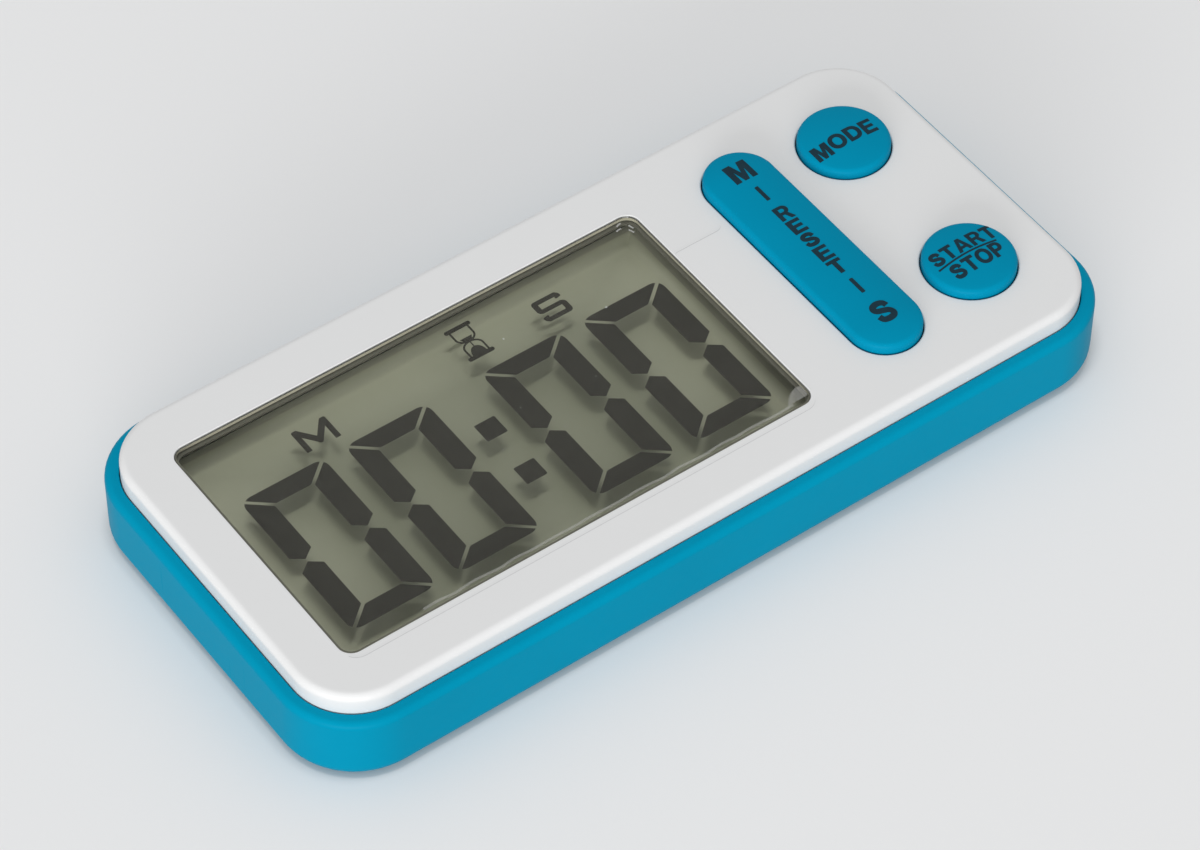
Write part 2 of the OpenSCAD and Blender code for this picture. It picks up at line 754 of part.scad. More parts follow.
module lcd_rear_glass() {
    color([0.8, 0.85, 0.8, 0.3])
    translate([window_x, -contact_ledge / 2, z_rear_glass])
        linear_extrude(glass_t) square([glass_l, rear_glass_w], center = true);
}

module lcd_rear_polarizer() {
    color([0.55, 0.58, 0.5, 0.4])
    translate([window_x, -contact_ledge / 2, z_display])
        linear_extrude(polarizer_t)
            square([glass_l - 2 * polarizer_inset, rear_glass_w - 2 * polarizer_inset_y],
                center = true);
}

// One upright stroke of a digit's upper left quarter, in the digit's own frame
module upright_stroke() {
    x0 = -digit_w / 2;
    x1 = x0 + stroke_w;
    top = digit_h / 2;
    cut = stroke_w * stroke_cut;
    polygon([
        [x0, top - cut - mark_gap], [x0 + cut * 0.3, top - cut * 0.6 - mark_gap],
        [x0 + cut * 0.6, top - cut * 0.6], [x1, top - stroke_h - mark_gap * 0.6],
        [x1, cut], [(x0 + x1) / 2, mark_gap / 2], [x0, cut]
    ]);
}

module level_stroke() {
    x0 = digit_w / 2 - stroke_w * stroke_cut;
    x1 = digit_w / 2 - stroke_w;
    top = digit_h / 2;
    polygon([
        [-x0 + mark_gap, top], [x0 - mark_gap, top], [x0 + mark_gap / 2, top - mark_gap],
        [x1 - mark_gap / 2, top - stroke_h], [-x1 + mark_gap / 2, top - stroke_h],
        [-x0 - mark_gap / 2, top - mark_gap]
    ]);
}

// A nought: every stroke but the middle one
module nought() {
    for (mx = [0, 1], my = [0, 1])
        mirror([mx, 0]) mirror([0, my]) upright_stroke();
    for (my = [0, 1]) mirror([0, my]) level_stroke();
}

module letter_m() {
    w = label_w / 2;
    h = label_h / 2;
    s = label_stroke;
    polygon([
        [-w, -h], [-w + s, -h], [-w + s, h - 1.5 * s], [0, -h], [w - s, h - 1.5 * s],
        [w - s, -h], [w, -h], [w, h], [w - s, h], [0, -h + 1.5 * s], [-w + s, h], [-w, h]
    ]);
}

module letter_s() {
    w = label_w * 0.4;
    h = label_h / 2;
    s = label_stroke;
    for (y = [-h, -s / 2, h - s]) translate([-w, y]) square([2 * w, s]);
    translate([-w, -s / 2]) square([s, h + s / 2]);
    translate([w - s, -h]) square([s, h + s / 2]);
    translate([-w, -h]) square([s, 1.6 * s]);
    translate([w - s, h - 1.6 * s]) square([s, 1.6 * s]);
}

module hourglass() {
    w = label_w * 0.37;
    h = label_h * 0.77;
    for (my = [0, 1]) mirror([0, my]) {
        translate([-w, h - icon_bar]) square([2 * w, icon_bar]);
        for (mx = [0, 1]) mirror([mx, 0])
            polygon([
                [w * 0.72, h - icon_bar / 2], [w * 0.72 - icon_line, h - icon_bar / 2],
                [w * 0.72 - icon_line, h * 0.4], [icon_neck / 4, 0],
                [icon_neck / 2 + icon_line, 0], [w * 0.72, h * 0.36]
            ]);
    }
    translate([-w * 0.55, -h + icon_bar / 2]) square([w * 1.1, h * 0.42]);
}

module lcd_segments() {
    color([0.23, 0.23, 0.19])
    translate([window_x, 0, z_rear_glass_top])
        linear_extrude(crystal_t) {
            translate([digits_dx, digits_dy]) {
                for (pair = [-1, 1], digit = [-1, 1])
                    translate([(pair * pair_pitch + digit * digit_pitch) / 2, 0]) nought();
                for (sy = [-1, 1])
                    translate([0, sy * colon_pitch / 2])
                        square(colon_size, center = true);
            }
            translate([minute_label_dx, labels_dy]) letter_m();
            translate([second_label_dx, labels_dy]) letter_s();
            translate([glass_icon_dx, glass_icon_dy]) hourglass();
        }
}

module lcd_reflector() {
    color([0.62, 0.64, 0.54])
    translate([window_x, 0, z_tray_floor])
        linear_extrude(reflector_t)
            square([well_l - 2 * seat_gap, well_w - 2 * seat_gap], center = true);
}

module lcd_tray() {
    color([0.8, 0.8, 0.78])
    difference() {
        translate([window_x, 0, z_board_top])
            round_plate(tray_l, tray_w, z_display_top - z_board_top, tray_r - seat_gap);
        translate([window_x, 0, z_tray_floor])
            linear_extrude(body_h) square([well_l, well_w], center = true);
        translate([window_x, 0, z_display])
            linear_extrude(body_h)
                square([glass_l + 2 * seat_gap, glass_w + 2 * seat_gap], center = true);
        translate([window_x, strip_y, z_board_top - eps])
            linear_extrude(body_h)
                square([strip_l + 2 * seat_gap, strip_w + 2 * seat_gap], center = true);
    }
}

module lcd_contact_strip() {
    color([0.25, 0.25, 0.26])
    translate([window_x, strip_y, z_board_top])
        linear_extrude(z_crystal_top - z_board_top) square([strip_l, strip_w], center = true);
}

// ------------------------------------------------------------------- board

module circuit_board() {
    color([0.12, 0.4, 0.2])
    difference() {
        translate([0, 0, z_board]) round_plate(board_l, board_w, board_t, board_r);
        screw_places() translate([0, 0, z_board - eps])
            cylinder(h = board_t + 2 * eps, d = boss_d + 2 * boss_play, $fn = round_fn);
        for (p = board_holes)
            translate([p[0], p[1], z_board - eps])
                cylinder(h = board_t + 2 * eps, d = board_screw_d + 2 * hole_play, $fn = round_fn);
        for (sy = [-1, 1])
            translate([rocker_x, sy * peg_y, z_board - eps])
                cylinder(h = board_t + 2 * eps, d = peg_d + 2 * peg_gap, $fn = round_fn);
    }
}

module chip_cover() {
    color([0.05, 0.05, 0.06])
    translate([chip_at[0], chip_at[1], z_board])
        rotate([180, 0, 0])
            rotate_extrude($fn = round_fn)
                polygon(concat([[0, 0]], [for (i = [0 : edge_steps])
                    let (a = 90 * i / edge_steps) [chip_d / 2 * cos(a), chip_h * sin(a)]]));
}

module quartz_crystal() {
    color(steel)
    translate([can_at[0], can_at[1], z_board - can_d / 2]) x_rod(can_l, can_d);
}

module board_chips() {
    color([0.75, 0.7, 0.6])
    for (i = [0 : 4])
        translate([chips_at[0] + chips_pitch * i, chips_at[1], z_board - chip_size[2]])
            cube(chip_size);
}

// -------------------------------------------------------------------- keys

// Every switch: [x, y, height of the contact above the board's datum]
switches = [
    [button_x, button_ys[0], z_contact], [button_x, button_ys[1], z_contact],
    [rocker_x, switch_reach, z_end_contact], [rocker_x, -switch_reach, z_end_contact]
];

module keypad_mat() {
    color([0.8, 0.8, 0.78])
    difference() {
        translate([(mat_x0 + mat_x1) / 2, 0, z_board_top])
            round_plate(mat_x1 - mat_x0, mat_w, mat_t, mat_r);
        for (s = switches)
            translate([s[0], s[1], z_board_top - eps])
                cylinder(h = mat_t + 2 * eps, d = dome_d - 2 * web_t, $fn = round_fn);
        translate([rocker_x, 0, z_board_top - eps])
            cylinder(h = mat_t + 2 * eps, d = dome_d - 2 * web_t, $fn = round_fn);
        for (sy = [-1, 1])
            translate([rocker_x, sy * peg_y, z_board_top - eps])
                cylinder(h = mat_t + 2 * eps, d = peg_d + 2 * mat_peg_gap, $fn = round_fn);
        for (p = board_holes)
            translate([p[0], p[1], z_board_top - eps])
                cylinder(h = mat_t + 2 * eps, d = board_boss_d + mat_gap, $fn = round_fn);
        screw_places() translate([0, 0, z_board_top - eps])
            cylinder(h = mat_t + 2 * eps, d = boss_d + 2 * boss_play, $fn = round_fn);
    }
}

// Rubber dome from the mat to the underside of a key; its boss ends at z_low
module dome(x, y, z_low, z_top) {
    r = dome_d / 2;
    b = dome_boss_d / 2;
    boss = z_top - z_low;
    color([0.82, 0.82, 0.8])
    translate([x, y, 0])
        rotate_extrude($fn = round_fn)
            polygon([
                [r - web_t, z_mat_top], [r, z_mat_top], [r, z_mat_top + dome_foot],
                [b, z_low + boss * dome_shoulder], [b, z_top], [0, z_top], [0, z_low],
                [b - dome_lip, z_low], [b - dome_lip, z_low + boss * dome_hollow],
                [r - web_t, z_mat_top + dome_lip]
            ]);
}

module mode_dome() { dome(button_x, button_ys[0], z_contact + contact_t, z_key_foot); }
module start_dome() { dome(button_x, button_ys[1], z_contact + contact_t, z_key_foot); }
module minute_dome() { dome(rocker_x, switch_reach, z_end_contact + contact_t, z_key_foot); }
module second_dome() { dome(rocker_x, -switch_reach, z_end_contact + contact_t, z_key_foot); }
module rocker_dome() { dome(rocker_x, 0, z_contact + contact_t, z_carrier); }

module contact(x, y, z) {
    color([0.08, 0.08, 0.08])
    translate([x, y, z]) cylinder(h = contact_t, d = contact_d, $fn = round_fn);
}

module mode_contact() { contact(button_x, button_ys[0], z_contact); }
module start_contact() { contact(button_x, button_ys[1], z_contact); }
module minute_contact() { contact(rocker_x, switch_reach, z_end_contact); }
module second_contact() { contact(rocker_x, -switch_reach, z_end_contact); }

module round_button(y) {
    height = z_button_top - z_key_foot;
    color(key_blue)
    translate([button_x, y, z_key_foot])
        difference() {
            rotate_extrude($fn = round_fn) {
                polygon(crowned_disc(button_d / 2, height, key_edge_r, key_crown));
                square([button_d / 2 + flange_w, flange_t]);
            }
            translate([0, 0, -eps])
                tube(height - key_roof - key_crown, button_d - 2 * key_wall, pusher_d);
        }
}

module mode_button() { round_button(button_ys[0]); }
module start_button() { round_button(button_ys[1]); }

module rocker_key() {
    height = z_rocker_top - z_rocker_rim;
    roof_z = z_rocker_top - key_crown - key_roof;
    color(key_blue)
    translate([rocker_x, 0, 0])
        difference() {
            union() {
                translate([0, 0, z_rocker_rim])
                    hull()
                        for (sy = [-1, 1])
                            translate([0, sy * (rocker_l - rocker_w) / 2, 0])
                                rotate_extrude($fn = round_fn)
                                    polygon(crowned_disc(rocker_w / 2, height, key_edge_r, key_crown));
                // Ears for the pin, with tabs that keep the key in the face
                for (sx = [-1, 1])
                    translate([sx * (rocker_w / 2 - key_wall / 2), 0, (z_ear + z_pivot) / 2])
                        cube([key_wall, tab_len, z_pivot - z_ear], center = true);
                translate([-rocker_w / 2 - flange_w, -tab_len / 2, z_ear])
                    cube([rocker_w + 2 * flange_w, tab_len, z_rocker_tab_top - z_ear]);
            }
            difference() {
                translate([0, 0, z_ear - eps])
                    linear_extrude(roof_z - z_ear + eps)
                        slot_outline(rocker_l - 2 * key_wall, rocker_w - 2 * key_wall);
                for (sy = [-1, 1])
                    translate([0, sy * switch_reach, 0])
                        cylinder(h = body_h * 2, d = pusher_d, $fn = round_fn);
            }
            translate([0, 0, z_pivot]) x_rod(2 * rocker_w, pivot_d + 2 * pin_gap);
        }
    // Posts that press the two domes
    color(key_blue)
    for (sy = [-1, 1])
        translate([rocker_x, sy * switch_reach, z_key_foot])
            cylinder(h = roof_z - z_key_foot + seat_gap, d = pusher_d, $fn = round_fn);
}

module rocker_carrier() {
    color([0.85, 0.85, 0.8])
    translate([rocker_x, 0, 0])
        difference() {
            union() {
                translate([-carrier_w / 2, -carrier_l / 2, z_carrier])
                    cube([carrier_w, carrier_l, carrier_t]);
                translate([-carrier_w / 2, -hub_d / 2, z_carrier])
                    cube([carrier_w, hub_d, z_pivot - z_carrier]);
                translate([0, 0, z_pivot]) x_rod(carrier_w, hub_d);
                for (sy = [-1, 1])
                    translate([0, sy * peg_y, z_board - peg_reach])
                        cylinder(h = z_carrier - z_board + peg_reach + eps, d = peg_d, $fn = round_fn);
            }
            translate([0, 0, z_pivot]) x_rod(2 * rocker_w, pivot_d);
        }
}

module rocker_pin() {
    color(steel)
    translate([rocker_x, 0, z_pivot]) x_rod(rocker_w - 0.1, pivot_d);
}

// --------------------------------------------------------- power and sound

module coin_cell() {
    can_h = cell_t - cap_t;
    color(steel)
    cell_place() translate([0, 0, z_cell]) {
        cylinder(h = can_h, d = cell_d, $fn = round_fn);
        translate([0, 0, can_h - eps])
            cylinder(h = cap_t + eps, d = cell_d - 2 * cap_inset, $fn = round_fn);
    }
}

module cell_minus_spring() {
    // A strip soldered to the board whose middle bows down onto the cell
    half = spring_half;
    bow = half - spring_foot;
    flat = spring_flat;
    dip = z_board - z_cell_top;
    color([0.8, 0.7, 0.4])
    cell_place()
        translate([0, spring_w / 2, z_board])
            rotate([90, 0, 0])
                linear_extrude(spring_w)
                    polygon([
                        [-half, 0], [-half, -spring_t], [-bow, -spring_t], [-flat, -dip],
                        [flat, -dip], [bow, -spring_t], [half, -spring_t], [half, 0],
                        [bow - spring_t, 0], [flat - spring_t / 2, -dip + spring_t],
                        [-flat + spring_t / 2, -dip + spring_t], [-bow + spring_t, 0]
                    ]);
}

module cell_plus_spring() {
    // An upright leaf against the side of the cell, with a soldered foot
    color([0.8, 0.7, 0.4])
    cell_place()
        translate([cell_d / 2, -spring_w / 2, 0]) {
            translate([0, 0, z_lug_well]) cube([spring_t, spring_w, z_board - z_lug_well]);
            translate([0, 0, z_board - spring_t])
                cube([spring_foot + spring_t, spring_w, spring_t]);
        }
}

module battery_door() {
    color(blue)
    cell_place()
        difference() {
            union() {
                translate([0, 0, door_recess]) cylinder(h = door_t, r = door_r, $fn = round_fn);
                translate([0, 0, z_door_in - eps])
                    tube(z_lug + lug_t - z_door_in + eps, 2 * door_ring_r,
                        2 * (door_ring_r - door_ring_t));
                intersection() {
                    translate([-lug_r, -lug_w / 2, z_lug]) cube([2 * lug_r, lug_w, lug_t]);
                    translate([0, 0, z_lug]) tube(lug_t, 2 * lug_r, 2 * (door_ring_r - door_ring_t));
                }
            }
            translate([0, 0, door_recess])
                cube([door_r * slot_share, slot_w, 2 * slot_depth], center = true);
        }
}

module buzzer_disc() {
    color([0.8, 0.65, 0.3])
    buzzer_place() translate([0, 0, z_buzzer]) cylinder(h = buzzer_t, d = buzzer_d, $fn = round_fn);
}

module buzzer_ceramic() {
    color([0.9, 0.9, 0.85])
    buzzer_place() translate([0, 0, z_buzzer + buzzer_t])
        cylinder(h = buzzer_t, d = ceramic_d, $fn = round_fn);
}

// Round wire through a list of points
module wire(points) {
    for (i = [0 : len(points) - 2])
        hull() {
            translate(points[i]) sphere(d = wire_d, $fn = 14);
            translate(points[i + 1]) sphere(d = wire_d, $fn = 14);
        }
}

module buzzer_wires() {
    z_low = z_buzzer + 2 * buzzer_t + wire_d / 2;
    z_high = z_board - wire_d / 2;
    color([0.7, 0.1, 0.1])
    buzzer_place()
        for (i = [0, 1]) {
            sy = 2 * i - 1;
            x = wire_starts[i][0];
            y = wire_starts[i][1];
            z = z_low - i * buzzer_t;
            wire([
                [x, y, z], [x + wire_bend, y + wire_spread[0] * sy, z + wire_d / 7],
                [wire_climb, y + wire_spread[1] * sy, (z_low + z_high) / 2],
                [wire_end, y + wire_spread[2] * sy, z_high]
            ]);
        }
}

// -------------------------------------------------------------------- back

module magnets() {
    color([0.35, 0.35, 0.36])
    magnet_places()
        translate([-magnet_l / 2, -magnet_w / 2, magnet_recess])
            cube([magnet_l, magnet_w, magnet_t]);
}

module stand_leg() {
    color(blue)
    difference() {
        union() {
            translate([-stand_w / 2, stand_y - stand_l, stand_recess])
                cube([stand_w, stand_l, stand_t]);
            translate([0, stand_y, z_stand_axis]) x_rod(stand_w, stand_t);
        }
        translate([-stand_w / 2 + stand_arm, stand_y - stand_l + stand_bar, -eps])
            cube([stand_w - 2 * stand_arm, stand_l - stand_bar - stand_arm, body_h]);
        translate([0, stand_y, z_stand_axis]) x_rod(2 * stand_w, stand_pin_d + 2 * pin_gap);
    }
}

module stand_pin() {
    color(steel)
    translate([0, stand_y, z_stand_axis]) x_rod(stand_pin_l, stand_pin_d);
}

rear_shell();
front_bezel();
display_lens();
protective_film();
lcd_front_polarizer();
lcd_front_glass();
lcd_segments();
lcd_rear_glass();
lcd_rear_polarizer();
lcd_reflector();
lcd_tray();
lcd_contact_strip();
circuit_board();
chip_cover();
quartz_crystal();
board_chips();
keypad_mat();
mode_dome();
start_dome();
minute_dome();
second_dome();
rocker_dome();
mode_button();
mode_contact();
start_button();
start_contact();
rocker_key();
minute_contact();
second_contact();
rocker_carrier();
rocker_pin();
coin_cell();
cell_plus_spring();
cell_minus_spring();
battery_door();
buzzer_disc();
buzzer_ceramic();
buzzer_wires();
magnets();
stand_leg();
stand_pin();
case_screws();
board_screws();
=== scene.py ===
import math

import bmesh
import bpy
from mathutils import Euler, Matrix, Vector


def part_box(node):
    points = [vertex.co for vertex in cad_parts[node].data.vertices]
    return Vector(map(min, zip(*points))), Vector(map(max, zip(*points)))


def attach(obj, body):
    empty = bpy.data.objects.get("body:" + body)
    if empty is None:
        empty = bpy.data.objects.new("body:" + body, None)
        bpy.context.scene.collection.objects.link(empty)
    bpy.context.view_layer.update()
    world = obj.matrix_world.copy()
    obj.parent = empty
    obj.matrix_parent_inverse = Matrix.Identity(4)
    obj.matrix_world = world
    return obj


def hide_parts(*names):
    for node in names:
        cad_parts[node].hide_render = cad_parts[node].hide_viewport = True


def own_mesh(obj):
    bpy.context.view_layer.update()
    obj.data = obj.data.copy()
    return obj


# Kitchen timer: looks for the shell, face, keys, display and back, built round
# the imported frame. Shapes are written in millimetres and stored in metres.

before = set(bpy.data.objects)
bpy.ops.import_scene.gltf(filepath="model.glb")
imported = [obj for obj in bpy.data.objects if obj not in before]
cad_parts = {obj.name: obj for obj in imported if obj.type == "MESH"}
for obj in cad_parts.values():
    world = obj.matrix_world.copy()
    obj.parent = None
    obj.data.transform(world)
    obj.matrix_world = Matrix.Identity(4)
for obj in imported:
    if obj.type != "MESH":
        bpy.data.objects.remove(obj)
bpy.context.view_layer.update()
for spare in ("Cube", "Light", "Camera"):
    if spare in bpy.data.objects:
        bpy.data.objects.remove(bpy.data.objects[spare])
scene = bpy.context.scene
scene.view_settings.view_transform = "Standard"
scene.cycles.transparent_max_bounces = 32

MM = 0.001


def placed(name, data):
    """Object that holds a mesh, a lamp or the like, linked to the scene."""
    piece = bpy.data.objects.new(name, data)
    scene.collection.objects.link(piece)
    return piece


camera_data = bpy.data.cameras.new("camera")
camera_data.lens = 139.87
camera_data.sensor_width = 36
camera_data.clip_start = 0.01
camera_data.clip_end = 20
camera = placed("camera", camera_data)
camera.location = (-0.207533, -0.279185, 0.402352)
camera.rotation_euler = Euler((0.714255, -0.007154, -0.628381))
scene.camera = camera


def node_box(node):
    """Lowest and highest corner of a CAD node, in millimetres."""
    low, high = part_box(node)
    return low / MM, high / MM


# ------------------------------------------------------------------- sizes

shell_low, shell_high = node_box("rear_shell")
lens_low, lens_high = node_box("display_lens")
rear_low, rear_high = node_box("lcd_rear_glass")
button_low, button_high = node_box("mode_button")
key_low, key_high = node_box("rocker_key")
door_low, door_high = node_box("battery_door")
stand_low, stand_high = node_box("stand_leg")
magnet_low, magnet_high = node_box("magnets")

# Shell and face: plan, heights, walls and the rounding of their edges
body_l, body_w = shell_high.x - shell_low.x, shell_high.y - shell_low.y
face_l, face_w = 106.4, 47.8
corner_r, face_corner_r = 9.5, 7.7
z_rim, z_face = shell_high.z, node_box("front_bezel")[1].z
z_film_top = node_box("protective_film")[1].z
z_skirt, z_plate = 6.2, 10.2
floor_t, wall_inset, skirt_t = 1.6, 1.68, 1.4
rim_edge, back_edge, face_edge = 0.8, 1.9, 0.85

# Window and lens
window_x, window_y = (lens_low.x + lens_high.x) / 2, -0.1
window_l, window_w, window_r = 63.15, 35.25, 1.7
lens_gap, lens_ledge, lens_chamfer = 0.1, 0.45, 0.16
z_lens, z_lens_top = lens_low.z, lens_high.z
z_window_back = 10.5
display_y = (rear_low.y + rear_high.y) / 2

# Keys: places, sizes and heights
button_x, button_y = 42.5, 11.65
button_r, key_gap, flange_w, flange_t = 5.55, 0.15, 0.85, 0.8
key_wall, key_roof, key_edge, key_crown, pusher_r = 1.1, 1.35, 0.65, 0.35, 2.0
z_key_foot, z_button_top = button_low.z, button_high.z
key_x, key_w, key_l = 28.7, 9.0, 35.7
z_key_rim, z_key_top, z_key_ear = 9.4, key_high.z, key_low.z
key_tab_w, key_tab_l, z_key_tab, z_pivot, pivot_r = 10.7, 9.0, 9.911, 9.8, 0.63
switch_y = 12.0

# Places of what is inside and in the back
screw_at = [(48.2, -18.9), (48.2, 18.9)]
board_boss_at = [(21.45, 18.82), (21.45, -18.82), (37.925, 0.0)]
cell_at, buzzer_at = (-36.0, -5.001), (36.0, -5.0)
magnet_at = [(-36.0, 16.5), (36.0, 16.5)]
stand_y, z_stand = 9.0, 0.9

# ------------------------------------------------------------------ shapes


def rounded(l, w, r, at=(0, 0), steps=12):
    """Outline of a rectangle with round corners, anticlockwise. A circle or a
    slot with round ends is one whose radius is half its width."""
    points = []
    for turn, (sx, sy) in enumerate([(1, 1), (-1, 1), (-1, -1), (1, -1)]):
        cx, cy = at[0] + sx * (l / 2 - r), at[1] + sy * (w / 2 - r)
        for i in range(steps + 1):
            a = math.pi / 2 * (turn + i / steps)
            p = (cx + r * math.cos(a), cy + r * math.sin(a))
            if not points or math.dist(p, points[-1]) > 1e-5:
                points.append(p)
    if math.dist(points[0], points[-1]) < 1e-5:
        points.pop()
    return points


def circle(r, at=(0, 0), steps=16):
    """Outline of a circle, with four times as many sides as steps."""
    return rounded(2 * r, 2 * r, r, at, steps)


def inset_by(l, w, r, at=(0, 0), steps=12):
    """Function from a distance to the rounded outline moved in by it."""
    return lambda d: rounded(l - 2 * d, w - 2 * d, max(r - d, 0.01), at, steps)


def half_plane(points, a, b, c):
    """The part of a convex outline where a x + b y is at most c."""
    kept = []
    for i, p in enumerate(points):
        q = points[(i + 1) % len(points)]
        dp, dq = a * p[0] + b * p[1] - c, a * q[0] + b * q[1] - c
        if dp <= 0:
            kept.append(p)
        if dp * dq < 0:
            t = dp / (dp - dq)
            kept.append((p[0] + t * (q[0] - p[0]), p[1] + t * (q[1] - p[1])))
    return kept


def moved(loop, dx, dy, sx=1.0, sy=1.0):
    """The outline scaled or mirrored, and then moved."""
    return [(dx + sx * x, dy + sy * y) for x, y in loop]


def ribbon(points, width):
    """Closed outline along a line of points."""
    left, right = [], []
    for a, p, b in zip(points[:1] + points, points, points[1:] + points[-1:]):
        d0 = Vector(p) - Vector(a) if a != p else Vector(b) - Vector(p)
        d1 = Vector(b) - Vector(p) if b != p else d0
        d0, d1 = d0.normalized(), d1.normalized()
        n0, n1 = Vector((-d0.y, d0.x)), Vector((-d1.y, d1.x))
        n = (n0 + n1).normalized()
        n *= width / 2 / max(n.dot(n0), 0.35)
        left.append((p[0] + n.x, p[1] + n.y))
        right.append((p[0] - n.x, p[1] - n.y))
    return left + right[::-1]


def bent(points, r):
    """A line of points with its corners rounded."""
    made, steps = [points[0]], 5
    for a, p, b in zip(points, points[1:], points[2:]):
        a, p, b = Vector(a), Vector(p), Vector(b)
        reach = min(r, (a - p).length / 2, (b - p).length / 2)
        s, e = p + (a - p).normalized() * reach, p + (b - p).normalized() * reach
        for i in range(steps + 1):
            t = i / steps
            q = s * (1 - t) ** 2 + p * 2 * t * (1 - t) + e * t * t
            made.append((q.x, q.y))
    return made + [points[-1]]


def smooth_line(points, steps=6):
    """A smooth line through the points."""
    made = []
    ends = [points[0]] + points + [points[-1]]
    for a, b, c, d in zip(ends, ends[1:], ends[2:], ends[3:]):
        for i in range(steps):
            t = i / steps
            made.append(tuple(0.5 * (2 * q + (r - p) * t + (2 * p - 5 * q + 4 * r - s) * t * t
                                     + (3 * q - p - 3 * r + s) * t ** 3)
                              for p, q, r, s in zip(a, b, c, d)))
    return made + [points[-1]]


def angles(end, steps):
    """Angles from 0 to end degrees, in equal steps."""
    return [math.radians(end * i / steps) for i in range(steps + 1)]


def edge_round(z, r, turns):
    """Points (inset, height) of an edge's rounding, from the side up to z."""
    return [(r * (1 - math.cos(a)), z - r + r * math.sin(a)) for a in turns]


def ellipse(cx, cy, rx, ry, a0, a1, steps=14, power=1.0):
    """Arc of an ellipse between two angles; a power below 1 squares it up."""
    points = []
    for i in range(steps + 1):
        a = math.radians(a0 + (a1 - a0) * i / steps)
        c, s = math.cos(a), math.sin(a)
        points.append((cx + rx * math.copysign(abs(c) ** power, c),
                       cy + ry * math.copysign(abs(s) ** power, s)))
    return points


def make(name, points, faces):
    """Object from points in millimetres and faces by their numbers."""
    mesh = bpy.data.meshes.new(name)
    mesh.from_pydata([(x * MM, y * MM, z * MM) for x, y, z in points], [], faces)
    mesh.validate()
    return placed(name, mesh)


def discard(piece):
    """Removes a spare piece and its mesh."""
    mesh = piece.data
    bpy.data.objects.remove(piece)
    bpy.data.meshes.remove(mesh)


def walls(order, count):
    """Faces between rings of count points, taken in the given order."""
    return [(a * count + i, a * count + (i + 1) % count,
             b * count + (i + 1) % count, b * count + i)
            for a, b in zip(order, order[1:]) for i in range(count)]


def closed(name, points, count, end=True):
    """Closed solid through rings of count points each."""
    first = [tuple(reversed(range(count)))] if end else []
    last = tuple(range(len(points) - count, len(points)))
    return make(name, points, first + walls(range(len(points) // count), count) + [last])


def stack(name, rings, end=True):
    """Closed solid through outlines with the same number of points, each with
    its height. The rings run up the outside and down the inside."""
    return closed(name, [(x, y, z) for outline, z in rings for x, y in outline],
                  len(rings[0][0]), end)


def prism(name, outline, z0, z1):
    """Solid with straight sides between two heights."""
    return stack(name, [(outline, z0), (outline, z1)])


def profiled(name, outline, profile):
    """Closed solid whose rings are outline(inset) at each (inset, height)."""
    return stack(name, [(outline(inset), z) for inset, z in profile])


def turned(name, profile, at=(0, 0), steps=16):
    """Solid of revolution about Z from (radius, height) points."""
    return stack(name, [(circle(r, at, steps), z) for r, z in profile])


def drum(name, r, z0, z1, at=(0, 0), steps=16):
    """Plain cylinder about Z."""
    return prism(name, circle(r, at, steps), z0, z1)


def hoop(name, section, at=(0, 0), steps=16):
    """Ring about Z whose section is a loop of (radius, height) points, up the
    outside and down the inside."""
    points = [(x, y, z) for r, z in section for x, y in circle(r, at, steps)]
    return make(name, points, walls([*range(len(section)), 0], len(points) // len(section)))


def bevelled(z0, z1, bevel):
    """Side of a flat plate with small bevels, as (inset, height)."""
    return [(bevel, z0), (0, z0 + bevel), (0, z1 - bevel), (bevel, z1)]


def plate(name, l, w, r, z0, z1, bevel, at=(0, 0)):
    """Flat plate with round corners and small bevels."""
    return profiled(name, inset_by(l, w, r, at, 3), bevelled(z0, z1, bevel))


def block(name, low, high, bevel=0.0):
    """Block between two corners, with small bevels."""
    l, w = high[0] - low[0], high[1] - low[1]
    at = ((low[0] + high[0]) / 2, (low[1] + high[1]) / 2)
    if not bevel:
        return prism(name, rounded(l, w, 0.0001, at, 1), low[2], high[2])
    return plate(name, l, w, bevel, low[2], high[2], bevel, at)


def rod(name, length, r, at, steps=8, chamfer=0.0):
    """Round rod along X, centred on a point."""
    ends = [(-length / 2, r - chamfer), (-length / 2 + chamfer, r),
            (length / 2 - chamfer, r), (length / 2, r - chamfer)]
    if not chamfer:
        ends = [ends[0], ends[-1]]
    turns = [math.pi / 2 * i / steps for i in range(4 * steps)]
    return closed(name, [(at[0] + x, at[1] + ring * math.cos(a), at[2] + ring * math.sin(a))
                         for x, ring in ends for a in turns], len(turns))


def combine(piece, operation, *others):
    """Cuts the others from the piece, or fuses them to it."""
    for other in others:
        change = piece.modifiers.new("shape", "BOOLEAN")
        change.operation = operation
        change.solver = "MANIFOLD"
        change.object = other
        graph = bpy.context.evaluated_depsgraph_get()
        result = bpy.data.meshes.new_from_object(piece.evaluated_get(graph))
        piece.modifiers.clear()
        old, name = piece.data, piece.data.name
        piece.data = result
        bpy.data.meshes.remove(old)
        result.name = name
        discard(other)
    return piece


def cut(piece, *others):
    """Cuts the others from the piece."""
    return combine(piece, "DIFFERENCE", *others)


def fuse(piece, *others):
    """Joins the others to the piece as one solid."""
    return combine(piece, "UNION", *others)


mouth_turns = angles(84, 7)


def mouth(name, outline, z_low, z_high, e):
    """Cutter for an opening whose upper edge is rounded by e."""
    top, last = [(-d, z) for d, z in edge_round(z_high, e, mouth_turns)], mouth_turns[-1]
    top.append((top[-1][0] - 0.5 * math.sin(last), top[-1][1] + 0.5 * math.cos(last)))
    top.append((top[-1][0], top[-1][1] + 1))
    return profiled(name, outline, [(0, z_low)] + top)


